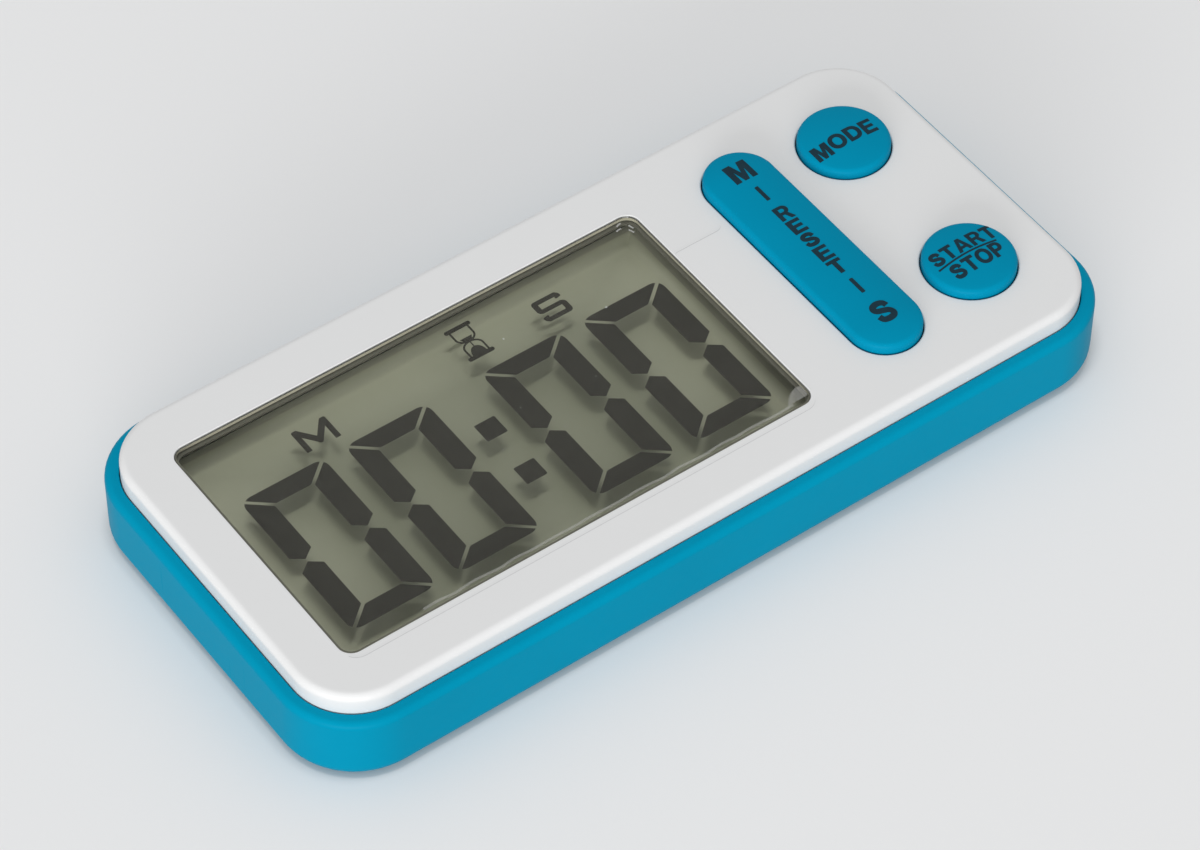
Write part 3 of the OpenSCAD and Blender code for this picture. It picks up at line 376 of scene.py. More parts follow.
def back_cutter(name, outline, z_top, e=0.12):
    """Cutter from below whose mouth at the back is rounded by e."""
    low = [(-d, -z) for d, z in edge_round(0, e, mouth_turns)]
    low.append((low[-1][0] - 0.5, low[-1][1] - 0.06))
    low.append((low[-1][0], low[-1][1] - 1))
    return profiled(name, outline, low[::-1] + [(0, z_top)])


def flat_shape(name, loops, z0, z1):
    """Flat piece from closed outlines; an outline inside another is a hole."""
    curve = bpy.data.curves.new(name, "CURVE")
    curve.dimensions = "2D"
    curve.fill_mode = "BOTH"
    curve.extrude = (z1 - z0) / 2 * MM
    for loop in loops:
        spline = curve.splines.new("POLY")
        spline.points.add(len(loop) - 1)
        for point, (x, y) in zip(spline.points, loop):
            point.co = (x * MM, y * MM, 0, 1)
        spline.use_cyclic_u = True
    holder = placed(name, curve)
    graph = bpy.context.evaluated_depsgraph_get()
    mesh = bpy.data.meshes.new_from_object(holder.evaluated_get(graph))
    bpy.data.objects.remove(holder)
    bpy.data.curves.remove(curve)
    joined = bmesh.new()
    joined.from_mesh(mesh)
    bmesh.ops.remove_doubles(joined, verts=joined.verts[:], dist=1e-7)
    bmesh.ops.translate(joined, verts=joined.verts[:], vec=(0, 0, (z0 + z1) / 2 * MM))
    joined.to_mesh(mesh)
    joined.free()
    mesh.name = name
    return placed(name, mesh)


def merge(name, pieces):
    """One object from several that don't touch."""
    points, faces = [], []
    for piece in pieces:
        start = len(points)
        points += [tuple(v.co / MM) for v in piece.data.vertices]
        faces += [tuple(start + i for i in p.vertices) for p in piece.data.polygons]
        discard(piece)
    return make(name, points, faces)


def dress(piece, material, body, stands_for=(), sharp=32):
    """Smooths the piece, gives it its material and puts it on its body."""
    mesh = piece.data
    mesh.materials.clear()
    mesh.materials.append(material)
    mesh.polygons.foreach_set("use_smooth", [True] * len(mesh.polygons))
    mesh.set_sharp_from_angle(angle=math.radians(sharp))
    blend = piece.modifiers.new("normals", "WEIGHTED_NORMAL")
    blend.keep_sharp = True
    blend.weight = 60
    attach(piece, body)
    if stands_for:
        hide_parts(*stands_for)
    return piece


def second_finish(piece, material, chosen):
    """Gives the faces that chosen() picks another material."""
    piece.data.materials.append(material)
    for face in piece.data.polygons:
        if chosen(face):
            face.material_index = len(piece.data.materials) - 1


# ---------------------------------------------------------------- finishes


def feed(tree, node, inputs):
    """Sets each input of a node to a value or to another node's output."""
    for key, value in inputs.items():
        if isinstance(value, bpy.types.NodeSocket):
            tree.links.new(value, node.inputs[key])
        else:
            node.inputs[key].default_value = value
    return node


def add(tree, kind, inputs=None, **settings):
    """New shader node with its settings and inputs."""
    made = tree.nodes.new("ShaderNode" + kind)
    for key, value in settings.items():
        setattr(made, key, value)
    return feed(tree, made, inputs or {})


def math_node(tree, operation, *values, clamp=False):
    """Result of a sum, product or the like on values or outputs."""
    return add(tree, "Math", dict(enumerate(values)),
               operation=operation, use_clamp=clamp).outputs[0]


def mixed(tree, share, first, second):
    """The first colour, or the second where the share is 1."""
    return add(tree, "Mix", {0: share, 6: first, 7: second},
               data_type="RGBA").outputs[2]


def faded(tree, tone, colour, value, low, high):
    """The tone, which turns into the other colour as the value goes from low to
    high."""
    share = add(tree, "MapRange", {"Value": value, "From Min": low, "From Max": high})
    return mixed(tree, share.outputs[0], tone, colour)


def place_on(tree):
    """Place on the piece, in metres."""
    return add(tree, "TexCoord").outputs["Object"]


def axes_of(tree):
    """The place along each axis."""
    return add(tree, "SeparateXYZ", {0: place_on(tree)}).outputs


def noise(tree, place, scale, **more):
    """Cloudy values from 0 to 1."""
    return add(tree, "TexNoise",
               {"Vector": place, "Scale": scale, **more}).outputs["Fac"]


def stretched(tree, place, scales):
    """The place multiplied along each axis."""
    return add(tree, "VectorMath", {0: place, 1: scales},
               operation="MULTIPLY").outputs[0]


def group(name, inputs, outputs):
    """Empty shader group, with the values that it is given and the node that its
    results go to."""
    tree = bpy.data.node_groups.new(name, "ShaderNodeTree")
    for label, value in inputs.items():
        kind = "NodeSocketColor" if isinstance(value, tuple) else "NodeSocketFloat"
        socket = tree.interface.new_socket(label, in_out="INPUT", socket_type=kind)
        socket.default_value = value
    for label, kind in outputs.items():
        tree.interface.new_socket(label, in_out="OUTPUT", socket_type=kind)
    given = tree.nodes.new("NodeGroupInput").outputs
    return tree, given, tree.nodes.new("NodeGroupOutput")


COLOUR, VALUE = "NodeSocketColor", "NodeSocketFloat"


def moulded_group():
    """Moulded plastic: soft changes of shade, a fine grain and uneven gloss."""
    tree, given, end = group(
        "moulded plastic",
        {"Colour": (0.5, 0.5, 0.5, 1), "Shade Change": 0.04, "Patch Scale": 60.0,
         "Roughness": 0.35, "Roughness Change": 0.08, "Grain Scale": 1600.0},
        {"Colour": COLOUR, "Roughness": VALUE, "Height": VALUE})
    place = place_on(tree)
    patch = noise(tree, place, given["Patch Scale"], Detail=3.0)
    grain = noise(tree, place, given["Grain Scale"], Detail=2.0)
    both = math_node(tree, "MULTIPLY_ADD", grain, 0.35,
                     math_node(tree, "SUBTRACT", patch, 0.675))
    shade = math_node(tree, "MULTIPLY_ADD", both,
                      math_node(tree, "MULTIPLY", given["Shade Change"], 2.0), 1.0)
    colour = add(tree, "VectorMath",
                 {0: given["Colour"], "Scale": shade}, operation="SCALE")
    rough = math_node(tree, "MULTIPLY_ADD", both, given["Roughness Change"],
                      given["Roughness"])
    feed(tree, end, {"Colour": colour.outputs[0], "Roughness": rough, "Height": grain})
    return tree


def dust_group():
    """Sparse specks of dust: a mask that is 1 on a speck."""
    tree, given, end = group(
        "dust specks", {"Scale": 250.0, "Size": 0.05, "Share": 0.05}, {"Mask": VALUE})
    cells = add(tree, "TexVoronoi",
                {"Vector": place_on(tree), "Scale": given["Scale"]})
    pick = add(tree, "SeparateColor", {0: cells.outputs["Color"]})
    size = math_node(tree, "MULTIPLY", given["Size"],
                     math_node(tree, "ADD", pick.outputs[1], 0.5))
    near = math_node(tree, "LESS_THAN", cells.outputs["Distance"], size)
    few = math_node(tree, "LESS_THAN", pick.outputs[0], given["Share"])
    feed(tree, end, {"Mask": math_node(tree, "MULTIPLY", near, few)})
    return tree


def scuff_group():
    """Hairline scuffs: a mask of short thin lines in two directions."""
    tree, given, end = group(
        "hairline scuffs", {"Scale": 40.0, "Stretch": 22.0, "Share": 0.3}, {"Mask": VALUE})
    place, masks = place_on(tree), []
    thin = add(tree, "CombineXYZ", {0: 1.0, 1: given["Stretch"], 2: 1.0})
    level = math_node(tree, "SUBTRACT", 0.86,
                      math_node(tree, "MULTIPLY", given["Share"], 0.4))
    for turn in (0.45, -0.9):
        turned_place = add(tree, "VectorRotate",
                           {"Vector": place, "Angle": turn}, rotation_type="Z_AXIS")
        pulled = stretched(tree, turned_place.outputs[0], thin.outputs[0])
        lines = noise(tree, pulled, given["Scale"], Detail=2.0, Roughness=0.6)
        masks.append(math_node(tree, "MULTIPLY", 14.0, math_node(
            tree, "SUBTRACT", lines, level), clamp=True))
    feed(tree, end, {"Mask": math_node(tree, "MAXIMUM", *masks)})
    return tree


def metal_group():
    """Plated or rolled metal: fine lines and cloudy tarnish."""
    tree, given, end = group(
        "plated metal",
        {"Colour": (0.6, 0.6, 0.6, 1), "Tarnish": (0.3, 0.28, 0.25, 1), "Amount": 0.2,
         "Roughness": 0.3, "Line Scale": 900.0},
        {"Colour": COLOUR, "Roughness": VALUE, "Height": VALUE})
    place = place_on(tree)
    lines = noise(tree, stretched(tree, place, (1.0, 0.06, 0.3)),
                  given["Line Scale"], Detail=3.0)
    cloud = noise(tree, place, 130.0, Detail=5.0)
    amount = math_node(tree, "MULTIPLY", given["Amount"], math_node(
        tree, "MULTIPLY", 2.2, math_node(tree, "SUBTRACT", cloud, 0.25), clamp=True))
    feed(tree, end, {
        "Colour": mixed(tree, amount, given["Colour"], given["Tarnish"]),
        "Roughness": math_node(tree, "MULTIPLY_ADD", lines, 0.16, given["Roughness"]),
        "Height": lines})
    return tree


moulded, dust, scuffs, metal = moulded_group(), dust_group(), scuff_group(), metal_group()


def use_group(tree, used, inputs):
    """Group node with its inputs, by the names of its sockets."""
    return feed(tree, add(tree, "Group", node_tree=used), inputs).outputs


def blank_material(name):
    """Material with its node tree and its surface shader."""
    material = bpy.data.materials.new(name)
    material.use_nodes = True
    tree = material.node_tree
    return material, tree, tree.nodes["Principled BSDF"]


def bump(tree, height, depth):
    """Normal of a surface whose grain is as deep as depth, in millimetres."""
    return add(tree, "Bump", {
        "Height": height, "Distance": depth * MM, "Strength": 1.0}).outputs[0]


def plastic(name, colour, roughness=0.35, shade=0.04, patch=60.0, grain=1600.0,
            depth=0.004, specks=0.0, speck_colour=(0.8, 0.82, 0.82, 1),
            speck_scale=220.0, speck_size=0.05, scuffed=0.0, shine=0.5,
            top_painted_shade=None, top_from=0.0, top_to=1.0, edge_painted_light=None, edge_at=(0, 0),
            edge_half=(1, 1)):
    """Moulded plastic, rubber or print. It can fade to a painted shade between two heights, or to
    a painted lighter tone towards the edges of a rectangle."""
    material, tree, shader = blank_material(name)
    base = use_group(tree, moulded, {
        "Colour": (*colour, 1), "Shade Change": shade, "Patch Scale": patch,
        "Roughness": roughness, "Roughness Change": 0.1, "Grain Scale": grain})
    tone, rough = base["Colour"], base["Roughness"]
    if edge_painted_light:
        axes = axes_of(tree)
        shares = [math_node(tree, "ABSOLUTE", math_node(
            tree, "MULTIPLY_ADD", axes[i], 1 / (half * MM), -centre / half))
            for i, (centre, half) in enumerate(zip(edge_at, edge_half))]
        tone = faded(tree, tone, edge_painted_light, math_node(tree, "MAXIMUM", *shares), 0.6, 1.0)
    if top_painted_shade:
        tone = faded(tree, tone, top_painted_shade, axes_of(tree)[2], top_from * MM, top_to * MM)
    if specks:
        mask = use_group(tree, dust, {"Scale": speck_scale, "Size": speck_size,
                                      "Share": specks})
        tone = mixed(tree, mask["Mask"], tone, speck_colour)
    if scuffed:
        lines = use_group(tree, scuffs, {"Scale": 55.0, "Stretch": 25.0, "Share": 0.35})
        rough = math_node(tree, "MULTIPLY_ADD", lines["Mask"], scuffed, rough)
    feed(tree, shader, {"Base Color": tone, "Roughness": rough, "Specular IOR Level": shine,
                        "Normal": bump(tree, base["Height"], depth)})
    return material


def plated(name, colour, tarnish, amount, roughness, lines=900.0):
    """Plated, rolled or drawn metal."""
    material, tree, shader = blank_material(name)
    base = use_group(tree, metal, {
        "Colour": (*colour, 1), "Tarnish": (*tarnish, 1), "Amount": amount,
        "Roughness": roughness, "Line Scale": lines})
    feed(tree, shader, {"Base Color": base["Colour"], "Roughness": base["Roughness"],
                        "Metallic": 1.0, "Normal": bump(tree, base["Height"], 0.003)})
    return material


def see_through(name, tint, alpha, ior, roughness, specks=0.0, lines=0.0,
                wave=0.0, speck_scale=420.0, line_alpha=0.25):
    """Clear sheet: it covers only as much as it mirrors, with a thin veil, and
    with dust and scuffs that show."""
    material, tree, shader = blank_material(name)
    mirrored = alpha
    if ior:
        front = math_node(tree, "SUBTRACT", 1.0, add(
            tree, "NewGeometry").outputs["Backfacing"])
        mirrored = math_node(tree, "MULTIPLY_ADD", front, add(tree, "Fresnel", {
            "IOR": ior}).outputs[0], alpha, clamp=True)
    base = use_group(tree, moulded, {
        "Colour": (*tint, 1), "Shade Change": 0.1, "Patch Scale": 45.0,
        "Roughness": roughness, "Roughness Change": 0.05, "Grain Scale": 300.0})
    tone, covers = base["Colour"], []
    if specks:
        mask = use_group(tree, dust, {"Scale": speck_scale, "Size": 0.05, "Share": specks})
        covers.append(math_node(tree, "MULTIPLY", mask["Mask"], 0.75))
    if lines:
        mask = use_group(tree, scuffs, {"Scale": 30.0, "Stretch": 30.0, "Share": lines})
        covers.append(math_node(tree, "MULTIPLY", mask["Mask"], line_alpha))
    if covers:
        cover = math_node(tree, "MAXIMUM", covers[0], covers[-1])
        tone = mixed(tree, cover, tone, (0.85, 0.86, 0.84, 1))
        mirrored = math_node(tree, "ADD", cover, mirrored, clamp=True)
    feed(tree, shader, {"Base Color": tone, "Roughness": base["Roughness"],
                        "Metallic": 1.0, "Alpha": mirrored})
    if wave:
        feed(tree, shader, {"Normal": bump(tree, base["Height"], wave)})
    return material


face_white = plastic("face_white", (0.72, 0.725, 0.727), 0.34, shade=0.012, patch=45.0,
                     grain=900.0, depth=0.004, specks=0.012, speck_colour=(0.42, 0.43, 0.44, 1),
                     speck_scale=150.0, speck_size=0.035, scuffed=0.1)
shell_blue = plastic("shell_blue", (0.0, 0.252, 0.405), 0.4, shade=0.05, patch=70.0,
                     grain=1500.0, depth=0.008, specks=0.035, speck_scale=200.0,
                     speck_size=0.016, scuffed=0.12, shine=0.025)
key_blue = plastic("key_blue", (0.0, 0.235, 0.39), 0.42, shade=0.04, patch=90.0,
                   grain=2200.0, depth=0.006, specks=0.02, speck_scale=300.0,
                   speck_size=0.03, shine=0.025)
key_ink = plastic("key_ink", (0.009, 0.03, 0.045), 0.5, shade=0.25, patch=700.0,
                  grain=4000.0, depth=0.004, shine=0.1)
mark_film = plastic("mark_film", (0.045, 0.044, 0.037), 0.45, shade=0.06, patch=120.0,
                    grain=3000.0, depth=0.001, shine=0.05)
# Painted light and shade on the reflector: lighter towards the window's edges, darker up its
# curved rim, and its blotchy shade change stands in for mottled reflections off the film
reflector_with_painted_light = plastic("reflector_with_painted_light", (0.25, 0.262, 0.186), 0.5, shade=0.1,
                          patch=35.0, grain=2600.0, depth=0.003,
                          edge_painted_light=(0.4, 0.412, 0.3, 1), edge_at=(window_x, display_y),
                          edge_half=(32.0, 19.05), top_painted_shade=(0.118, 0.118, 0.09, 1),
                          top_from=6.8, top_to=9.0)
# The tray's walls turn darker towards their top: painted shade
tray_with_painted_shade = plastic("tray_with_painted_shade", (0.3, 0.305, 0.24), 0.5, shade=0.05, grain=1200.0,
                        top_painted_shade=(0.118, 0.118, 0.09, 1), top_from=6.7, top_to=8.9)
strip_rubber = plastic("strip_rubber", (0.045, 0.045, 0.05), 0.7, shade=0.2, patch=1500.0)
board_green = plastic("board_green", (0.01, 0.11, 0.04), 0.35, shade=0.18, patch=400.0,
                      grain=2500.0, depth=0.01)
chip_black = plastic("chip_black", (0.008, 0.008, 0.009), 0.3, shade=0.15, patch=500.0)
chip_tan = plastic("chip_tan", (0.45, 0.36, 0.24), 0.5, shade=0.15, patch=1500.0)
mat_rubber = plastic("mat_rubber", (0.6, 0.6, 0.57), 0.6, shade=0.06, patch=200.0,
                     grain=2200.0, depth=0.012)
carbon_pill = plastic("carbon_pill", (0.012, 0.012, 0.013), 0.75, shade=0.3, patch=1500.0)
ceramic_white = plastic("ceramic_white", (0.75, 0.73, 0.66), 0.4, shade=0.06, patch=300.0)
wire_red = plastic("wire_red", (0.42, 0.012, 0.01), 0.4, shade=0.08, patch=600.0)
magnet_dark = plastic("magnet_dark", (0.045, 0.046, 0.05), 0.55, shade=0.3, patch=700.0,
                      grain=3500.0, depth=0.02)
steel = plated("steel", (0.62, 0.62, 0.63), (0.33, 0.31, 0.28), 0.22, 0.28)
cell_steel = plated("cell_steel", (0.68, 0.67, 0.65), (0.4, 0.38, 0.34), 0.15, 0.22, 500.0)
brass = plated("brass", (0.72, 0.52, 0.22), (0.36, 0.23, 0.09), 0.35, 0.3)

carrier_white = plastic("carrier_white", (0.66, 0.66, 0.62), 0.4, shade=0.04)
# The lens's edge colours are painted: the rim's bright band is a painted highlight, and the dark
# lines, the chamfer and the border are painted shade
painted_rim_highlight = plastic("painted_rim_highlight", (0.42, 0.405, 0.31), 0.25, shade=0.15, patch=300.0)
painted_rim_shade = plastic("painted_rim_shade", (0.07, 0.07, 0.052), 0.4, shade=0.2, patch=300.0, shine=0.1)
painted_border_shade, painted_chamfer_shade = (
    plastic(name, colour, 0.4, shade=0.1, patch=300.0, shine=0.1)
    for name, colour in (("painted_border_shade", (0.13, 0.13, 0.104)),
                         ("painted_chamfer_shade", (0.18, 0.18, 0.142))))
lens_clear = see_through("lens_clear", (0.8, 0.82, 0.78), 0.002, 1.2, 0.05,
                         specks=0.04, lines=0.08, line_alpha=0.12)
film_clear = see_through("film_clear", (0.9, 0.91, 0.9), 0.003, None, 0.1, lines=0.1,
                         wave=0.03, line_alpha=0.1)
painted_film_edge_shadow = see_through("painted_film_edge_shadow", (0.35, 0.35, 0.36), 0.35, None, 0.4)
film_haze = see_through("film_haze", (0.8, 0.8, 0.76), 0.2, None, 0.4, specks=0.3,
                        speck_scale=1300.0)
film_glint = see_through("film_glint", (0.85, 0.86, 0.84), 0.5, None, 0.4)
glass_clear = see_through("glass_clear", (0.7, 0.74, 0.66), 0.001, None, 0.05)

# ------------------------------------------------------------- blue shell

case_outline = inset_by(body_l, body_w, corner_r, steps=16)


def shell_profile():
    """The shell's section, as (inset, height) from the back up the outside, over
    the rim and down to the floor."""
    bottom = [(d, -z) for d, z in edge_round(0, back_edge, angles(90, 9))]
    under = [(back_edge + 0.25, 0.0)] + bottom[::-1]
    rim = [(0, z_rim - rim_edge - 0.2)] + edge_round(z_rim, rim_edge, angles(90, 7))
    lip = [(rim_edge + 0.1, z_rim), (wall_inset - 0.12, z_rim),
           (wall_inset - 0.06, z_rim - 0.02), (wall_inset, z_rim - 0.1)]
    inside = [(wall_inset, floor_t + 0.3), (wall_inset + 0.09, floor_t + 0.09),
              (wall_inset + 0.3, floor_t)]
    return under + rim + lip + inside


case_shell = profiled("case_shell", case_outline, shell_profile())

# Inside: screw posts, battery housing, buzzer ring and the pads behind the
# magnets and the stand
post_r, z_post, screw_head_r, screw_hole_r = 3.5, 3.8, 2.3, 1.2
lug_well_r, z_lug_well, housing_wall, housing_lip, z_root = 12.7, 2.85, 1.5, 1.0, 0.8
ring_r, ring_bore_r, z_ring, pad, z_pad, z_stand_pad = 10.0, 8.8, 2.6, 1.1, 2.65, 3.05
magnet_l, magnet_w, magnet_t, magnet_gap, magnet_recess = 14.0, 8.0, 1.5, 0.1, 0.05
stand_w, stand_l, stand_t, pin_l, pin_hole_r = 32.0, 24.0, 1.5, 39.0, 0.43


def post(name, r, z_top, at, steps=16):
    """Round post on the floor of the shell, with its top edge broken."""
    return turned(name, [(r, z_root), (r, z_top - 0.1), (r - 0.1, z_top)], at, steps)


for at in screw_at:
    fuse(case_shell, post("post", post_r, z_post, at))
fuse(case_shell, post("housing", lug_well_r + housing_wall, z_lug_well + housing_lip,
                      cell_at, 24))
buzzer_ring = post("ring", ring_r, z_ring, buzzer_at, 20)
cut(buzzer_ring, drum("ring_bore", ring_bore_r, z_root - 0.3, z_ring + 0.4, buzzer_at, 20))
fuse(case_shell, buzzer_ring)
for x, y in magnet_at:
    fuse(case_shell, block("pad", (x - magnet_l / 2 - pad, y - magnet_w / 2 - pad, z_root),
                           (x + magnet_l / 2 + pad, y + magnet_w / 2 + pad, z_pad)))
fuse(case_shell, block("stand_pad", (-pin_l / 2 - pad, stand_y - stand_l - pad, z_root),
                       (pin_l / 2 + pad, stand_y + pad + stand_t, z_stand_pad)))

# Openings in the back, with their edges slightly rounded
door_r, door_ring_r, door_gap, lug_w, lug_r = 12.7, 11.4, 0.2, 5.0, 12.5
z_ledge, ledge_t, cell_bore_r, door_turn = 1.35, 0.6, 10.3, -40
z_screw_seat, z_above, sound_hole_r, sound_ring_r, z_sound_end = 2.6, 6.0, 0.6, 3, 2.2
spring_from, spring_to, spring_half = 9, 12, 3


def round_well(name, r, z_top, at, e, steps=16):
    """Cutter for a round opening in the back."""
    return back_cutter(name, inset_by(2 * r, 2 * r, r, at, steps), z_top, e)


for at in screw_at:
    cut(case_shell, round_well("screw_well", screw_head_r, z_screw_seat, at, 0.15),
        drum("screw_hole", screw_hole_r, 1.0, z_above, at))
cut(case_shell,
    round_well("door_well", door_r + door_gap, z_ledge, cell_at, 0.2, 24),
    drum("door_throat", door_ring_r + door_gap, 1.0, z_lug_well, cell_at, 24),
    drum("lug_well", lug_well_r, z_ledge + ledge_t, z_lug_well, cell_at, 24),
    drum("cell_bore", cell_bore_r, 2.0, z_above, cell_at, 24))
turn = math.radians(door_turn)
lug_gate = block("lug_gate", (-lug_r - 0.05, -lug_w / 2 - door_gap, z_ledge - 0.1),
                 (lug_r + 0.05, lug_w / 2 + door_gap, z_ledge + ledge_t + 0.1))
for v in lug_gate.data.vertices:
    x, y = v.co.x, v.co.y
    v.co.x = x * math.cos(turn) - y * math.sin(turn) + cell_at[0] * MM
    v.co.y = x * math.sin(turn) + y * math.cos(turn) + cell_at[1] * MM
cut(case_shell, lug_gate,
    block("spring_slot", (cell_at[0] + spring_from, cell_at[1] - spring_half,
                          z_lug_well - 0.01),
          (cell_at[0] + spring_to, cell_at[1] + spring_half, z_above)))
for r, a in [(0, 0)] + [(sound_ring_r, math.pi / 3 * i) for i in range(6)]:
    at = (buzzer_at[0] + r * math.cos(a), buzzer_at[1] + r * math.sin(a))
    cut(case_shell, round_well("sound_hole", sound_hole_r, z_sound_end, at, 0.12, 6))
for at in magnet_at:
    cut(case_shell, back_cutter("magnet_pocket", inset_by(
        magnet_l + 2 * magnet_gap, magnet_w + 2 * magnet_gap, 0.3, at, 5),
        magnet_t + magnet_recess))
well_gap, z_stand_well, barrel_r, stand_stop_y = 0.3, 1.95, 0.87, 0.466
well_at = (0, (stand_y - stand_l - well_gap + stand_y) / 2)
cut(case_shell,
    back_cutter("stand_well", inset_by(stand_w + 2 * well_gap, stand_l + well_gap, 0.3,
                                       well_at, 5), z_stand_well),
    rod("barrel_well", stand_w + 2 * well_gap, barrel_r, (0, stand_y, z_stand)),
    block("stop_well", (-stand_w / 2 - well_gap, stand_y - barrel_r, -0.5),
          (stand_w / 2 + well_gap, stand_y + stand_stop_y, z_stand)),
    rod("pin_hole", pin_l + 0.06, pin_hole_r, (0, stand_y, z_stand)))
snap_x, snap_y, z_snap = -21.28, 9.56, z_rim - 1.9


def snaps(name, reach, half_l, half_h):
    """Blocks at the two snaps on the face's left end and the two on its long
    sides, which stand out of the face by reach."""
    made = []
    for sy in (-1, 1):
        x, y, side = -face_l / 2, sy * snap_y, sy * face_w / 2
        made += [block(name, (x - reach, y - half_l, z_snap - half_h),
                       (x + 0.5, y + half_l, z_snap + half_h)),
                 block(name, (snap_x - half_l, side - reach, z_snap - half_h),
                       (snap_x + half_l, side + reach, z_snap + half_h))]
    return made


cut(case_shell, *snaps("snap_slot", 0.45, 3.1, 0.6))
dress(case_shell, shell_blue, "case", ["rear_shell"])

# ------------------------------------------------------------- white face

face_plate = profiled(
    "face_plate", inset_by(face_l, face_w, face_corner_r, steps=16),
    [(0.1, z_skirt), (0, z_skirt + 0.1), (0, z_face - face_edge - 0.25)]
    + edge_round(z_face, face_edge, angles(90, 9)) + [(face_edge + 0.25, z_face)])
cut(face_plate, profiled("hollow", inset_by(face_l, face_w, face_corner_r), [
    (skirt_t, z_skirt - 1), (skirt_t, z_plate - 0.3), (skirt_t + 0.3, z_plate)]))
# Screw bosses: their places, radius, lower end, steps round a quarter, and the
# radius and ends of the hole in each
z_boss_top = 10.6
bosses = [(screw_at, 2.3, 3.85, 16, (1.02, 2.6, 8.9)),
          (board_boss_at, 1.7, 5.84, 10, (0.82, 5.0, 8.74))]
for places, r, z, steps, hole in bosses:
    for at in places:
        fuse(face_plate, turned("boss", [(r - 0.1, z), (r, z + 0.1),
                                         (r, z_boss_top)], at, steps))
fuse(face_plate, *snaps("snap", 0.35, 3, 0.5))

window_outline = inset_by(window_l, window_w, window_r, (window_x, window_y), 8)
hole_r, slot_w, slot_l = button_r + key_gap, key_w + 2 * key_gap, key_l + 2 * key_gap
pocket_l, pocket_w, pocket_r, hole_edge = 69.4, 42.9, 4, 0.22
cut(face_plate,
    prism("display_pocket", rounded(pocket_l, pocket_w, pocket_r, (window_x, 0)),
          z_skirt - 1, z_window_back),
    prism("ledge_opening", window_outline(lens_ledge), z_skirt, 13),
    mouth("lens_opening", window_outline, z_lens, z_face, 0.1))
for name, l, w, at, steps in (
        ("mode_hole", 2 * hole_r, 2 * hole_r, (button_x, button_y), 20),
        ("start_hole", 2 * hole_r, 2 * hole_r, (button_x, -button_y), 20),
        ("key_slot", slot_w, slot_l, (key_x, 0), 16)):
    cut(face_plate, mouth(name, inset_by(l, w, l / 2, at, steps), z_skirt, z_face, hole_edge))
for places, r, z, steps, hole in bosses:
    for at in places:
        cut(face_plate, drum("thread_hole", *hole, at, 8))
dress(face_plate, face_white, "case", ["front_bezel"])


def on_ledge(face):
    """Whether a face lies on the lens's ledge or the wall of its opening."""
    x, y, z = face.center / MM
    return (abs(x - window_x) < window_l / 2 and abs(y - window_y) < window_w / 2
            and z_window_back < z < z_lens + 0.01)


# The lens's ledge and the wall of its opening, white plastic, get a dark colour that is painted
# shade
second_finish(face_plate, painted_border_shade, on_ledge)

# ------------------------------------------------------------ clear pieces

# The lens has a small chamfer on top and a border under its edge. Its side gets a band of painted
# highlight between two lines of painted shade, and the chamfer and the border get painted shade
z_border, bright_from, bright_to = z_lens + 0.02, z_lens_top - 0.64, z_lens_top - 0.24
window_lens = stack("window_lens", [(window_outline(lens_gap + d), z) for d, z in [
    (lens_ledge, z_border), (0, z_border), (0, bright_from), (0, bright_to),
    (0, z_lens_top - lens_chamfer), (lens_chamfer, z_lens_top)]])
dress(window_lens, lens_clear, "case", ["display_lens"], sharp=20)
second_finish(window_lens, painted_rim_shade, lambda face: abs(face.normal.z) < 0.9)
second_finish(window_lens, painted_rim_highlight, lambda face: (
    abs(face.normal.z) < 0.9 and bright_from < face.center.z / MM < bright_to))
second_finish(window_lens, painted_chamfer_shade, lambda face: 0.3 < face.normal.z < 0.9)
second_finish(window_lens, painted_border_shade, lambda face: (
    face.area < 1e-4 and face.center.z < (z_border + 0.01) * MM))

film_lip, film_r, tab_l, tab_y, tab_half, tab_r = 0.9, 1.85, 7.2, 11.6, 2.5, 1.0


def film_outline(d):
    """The film's outline with its pull tab, moved in by d."""
    x1, y1 = window_x + window_l / 2 - d, window_y + window_w / 2 - d
    x0, y0 = window_x - window_l / 2 + d, window_y - window_w / 2 - film_lip + d
    r, root, tab_x, tip_r = film_r - d, 0.5 + d, x1 + tab_l - tab_r, tab_r - d
    # Each corner's centre, radius, first angle and turn
    corners = ((x1 - r, y0 + r, r, -90, 90),
               (x1 + root, tab_y - tab_half + d - root, root, 180, -90),
               (tab_x, tab_y - tab_half + tab_r, tip_r, -90, 90),
               (tab_x, tab_y + tab_half - tab_r, tip_r, 0, 90),
               (x1 + root, tab_y + tab_half - d + root, root, -90, -90),
               (x1 - r, y1 - r, r, 0, 90), (x0 + r, y1 - r, r, 90, 90),
               (x0 + r, y0 + r, r, 180, 90))
    return [p for cx, cy, radius, start, turn in corners
            for p in ellipse(cx, cy, radius, radius, start, start + turn, 6)]


# The film is one thin sheet: its top and its cut edge. The cut edges that face the near side are
# darkened as a painted shadow line
cover_film = stack("cover_film", [(film_outline(0), z_face), (film_outline(0), z_film_top),
                                  (film_outline(0.1), z_film_top)], end=False)
dress(cover_film, film_clear, "case", ["protective_film"])
second_finish(cover_film, painted_film_edge_shadow, lambda face: face.normal.y < -0.5)

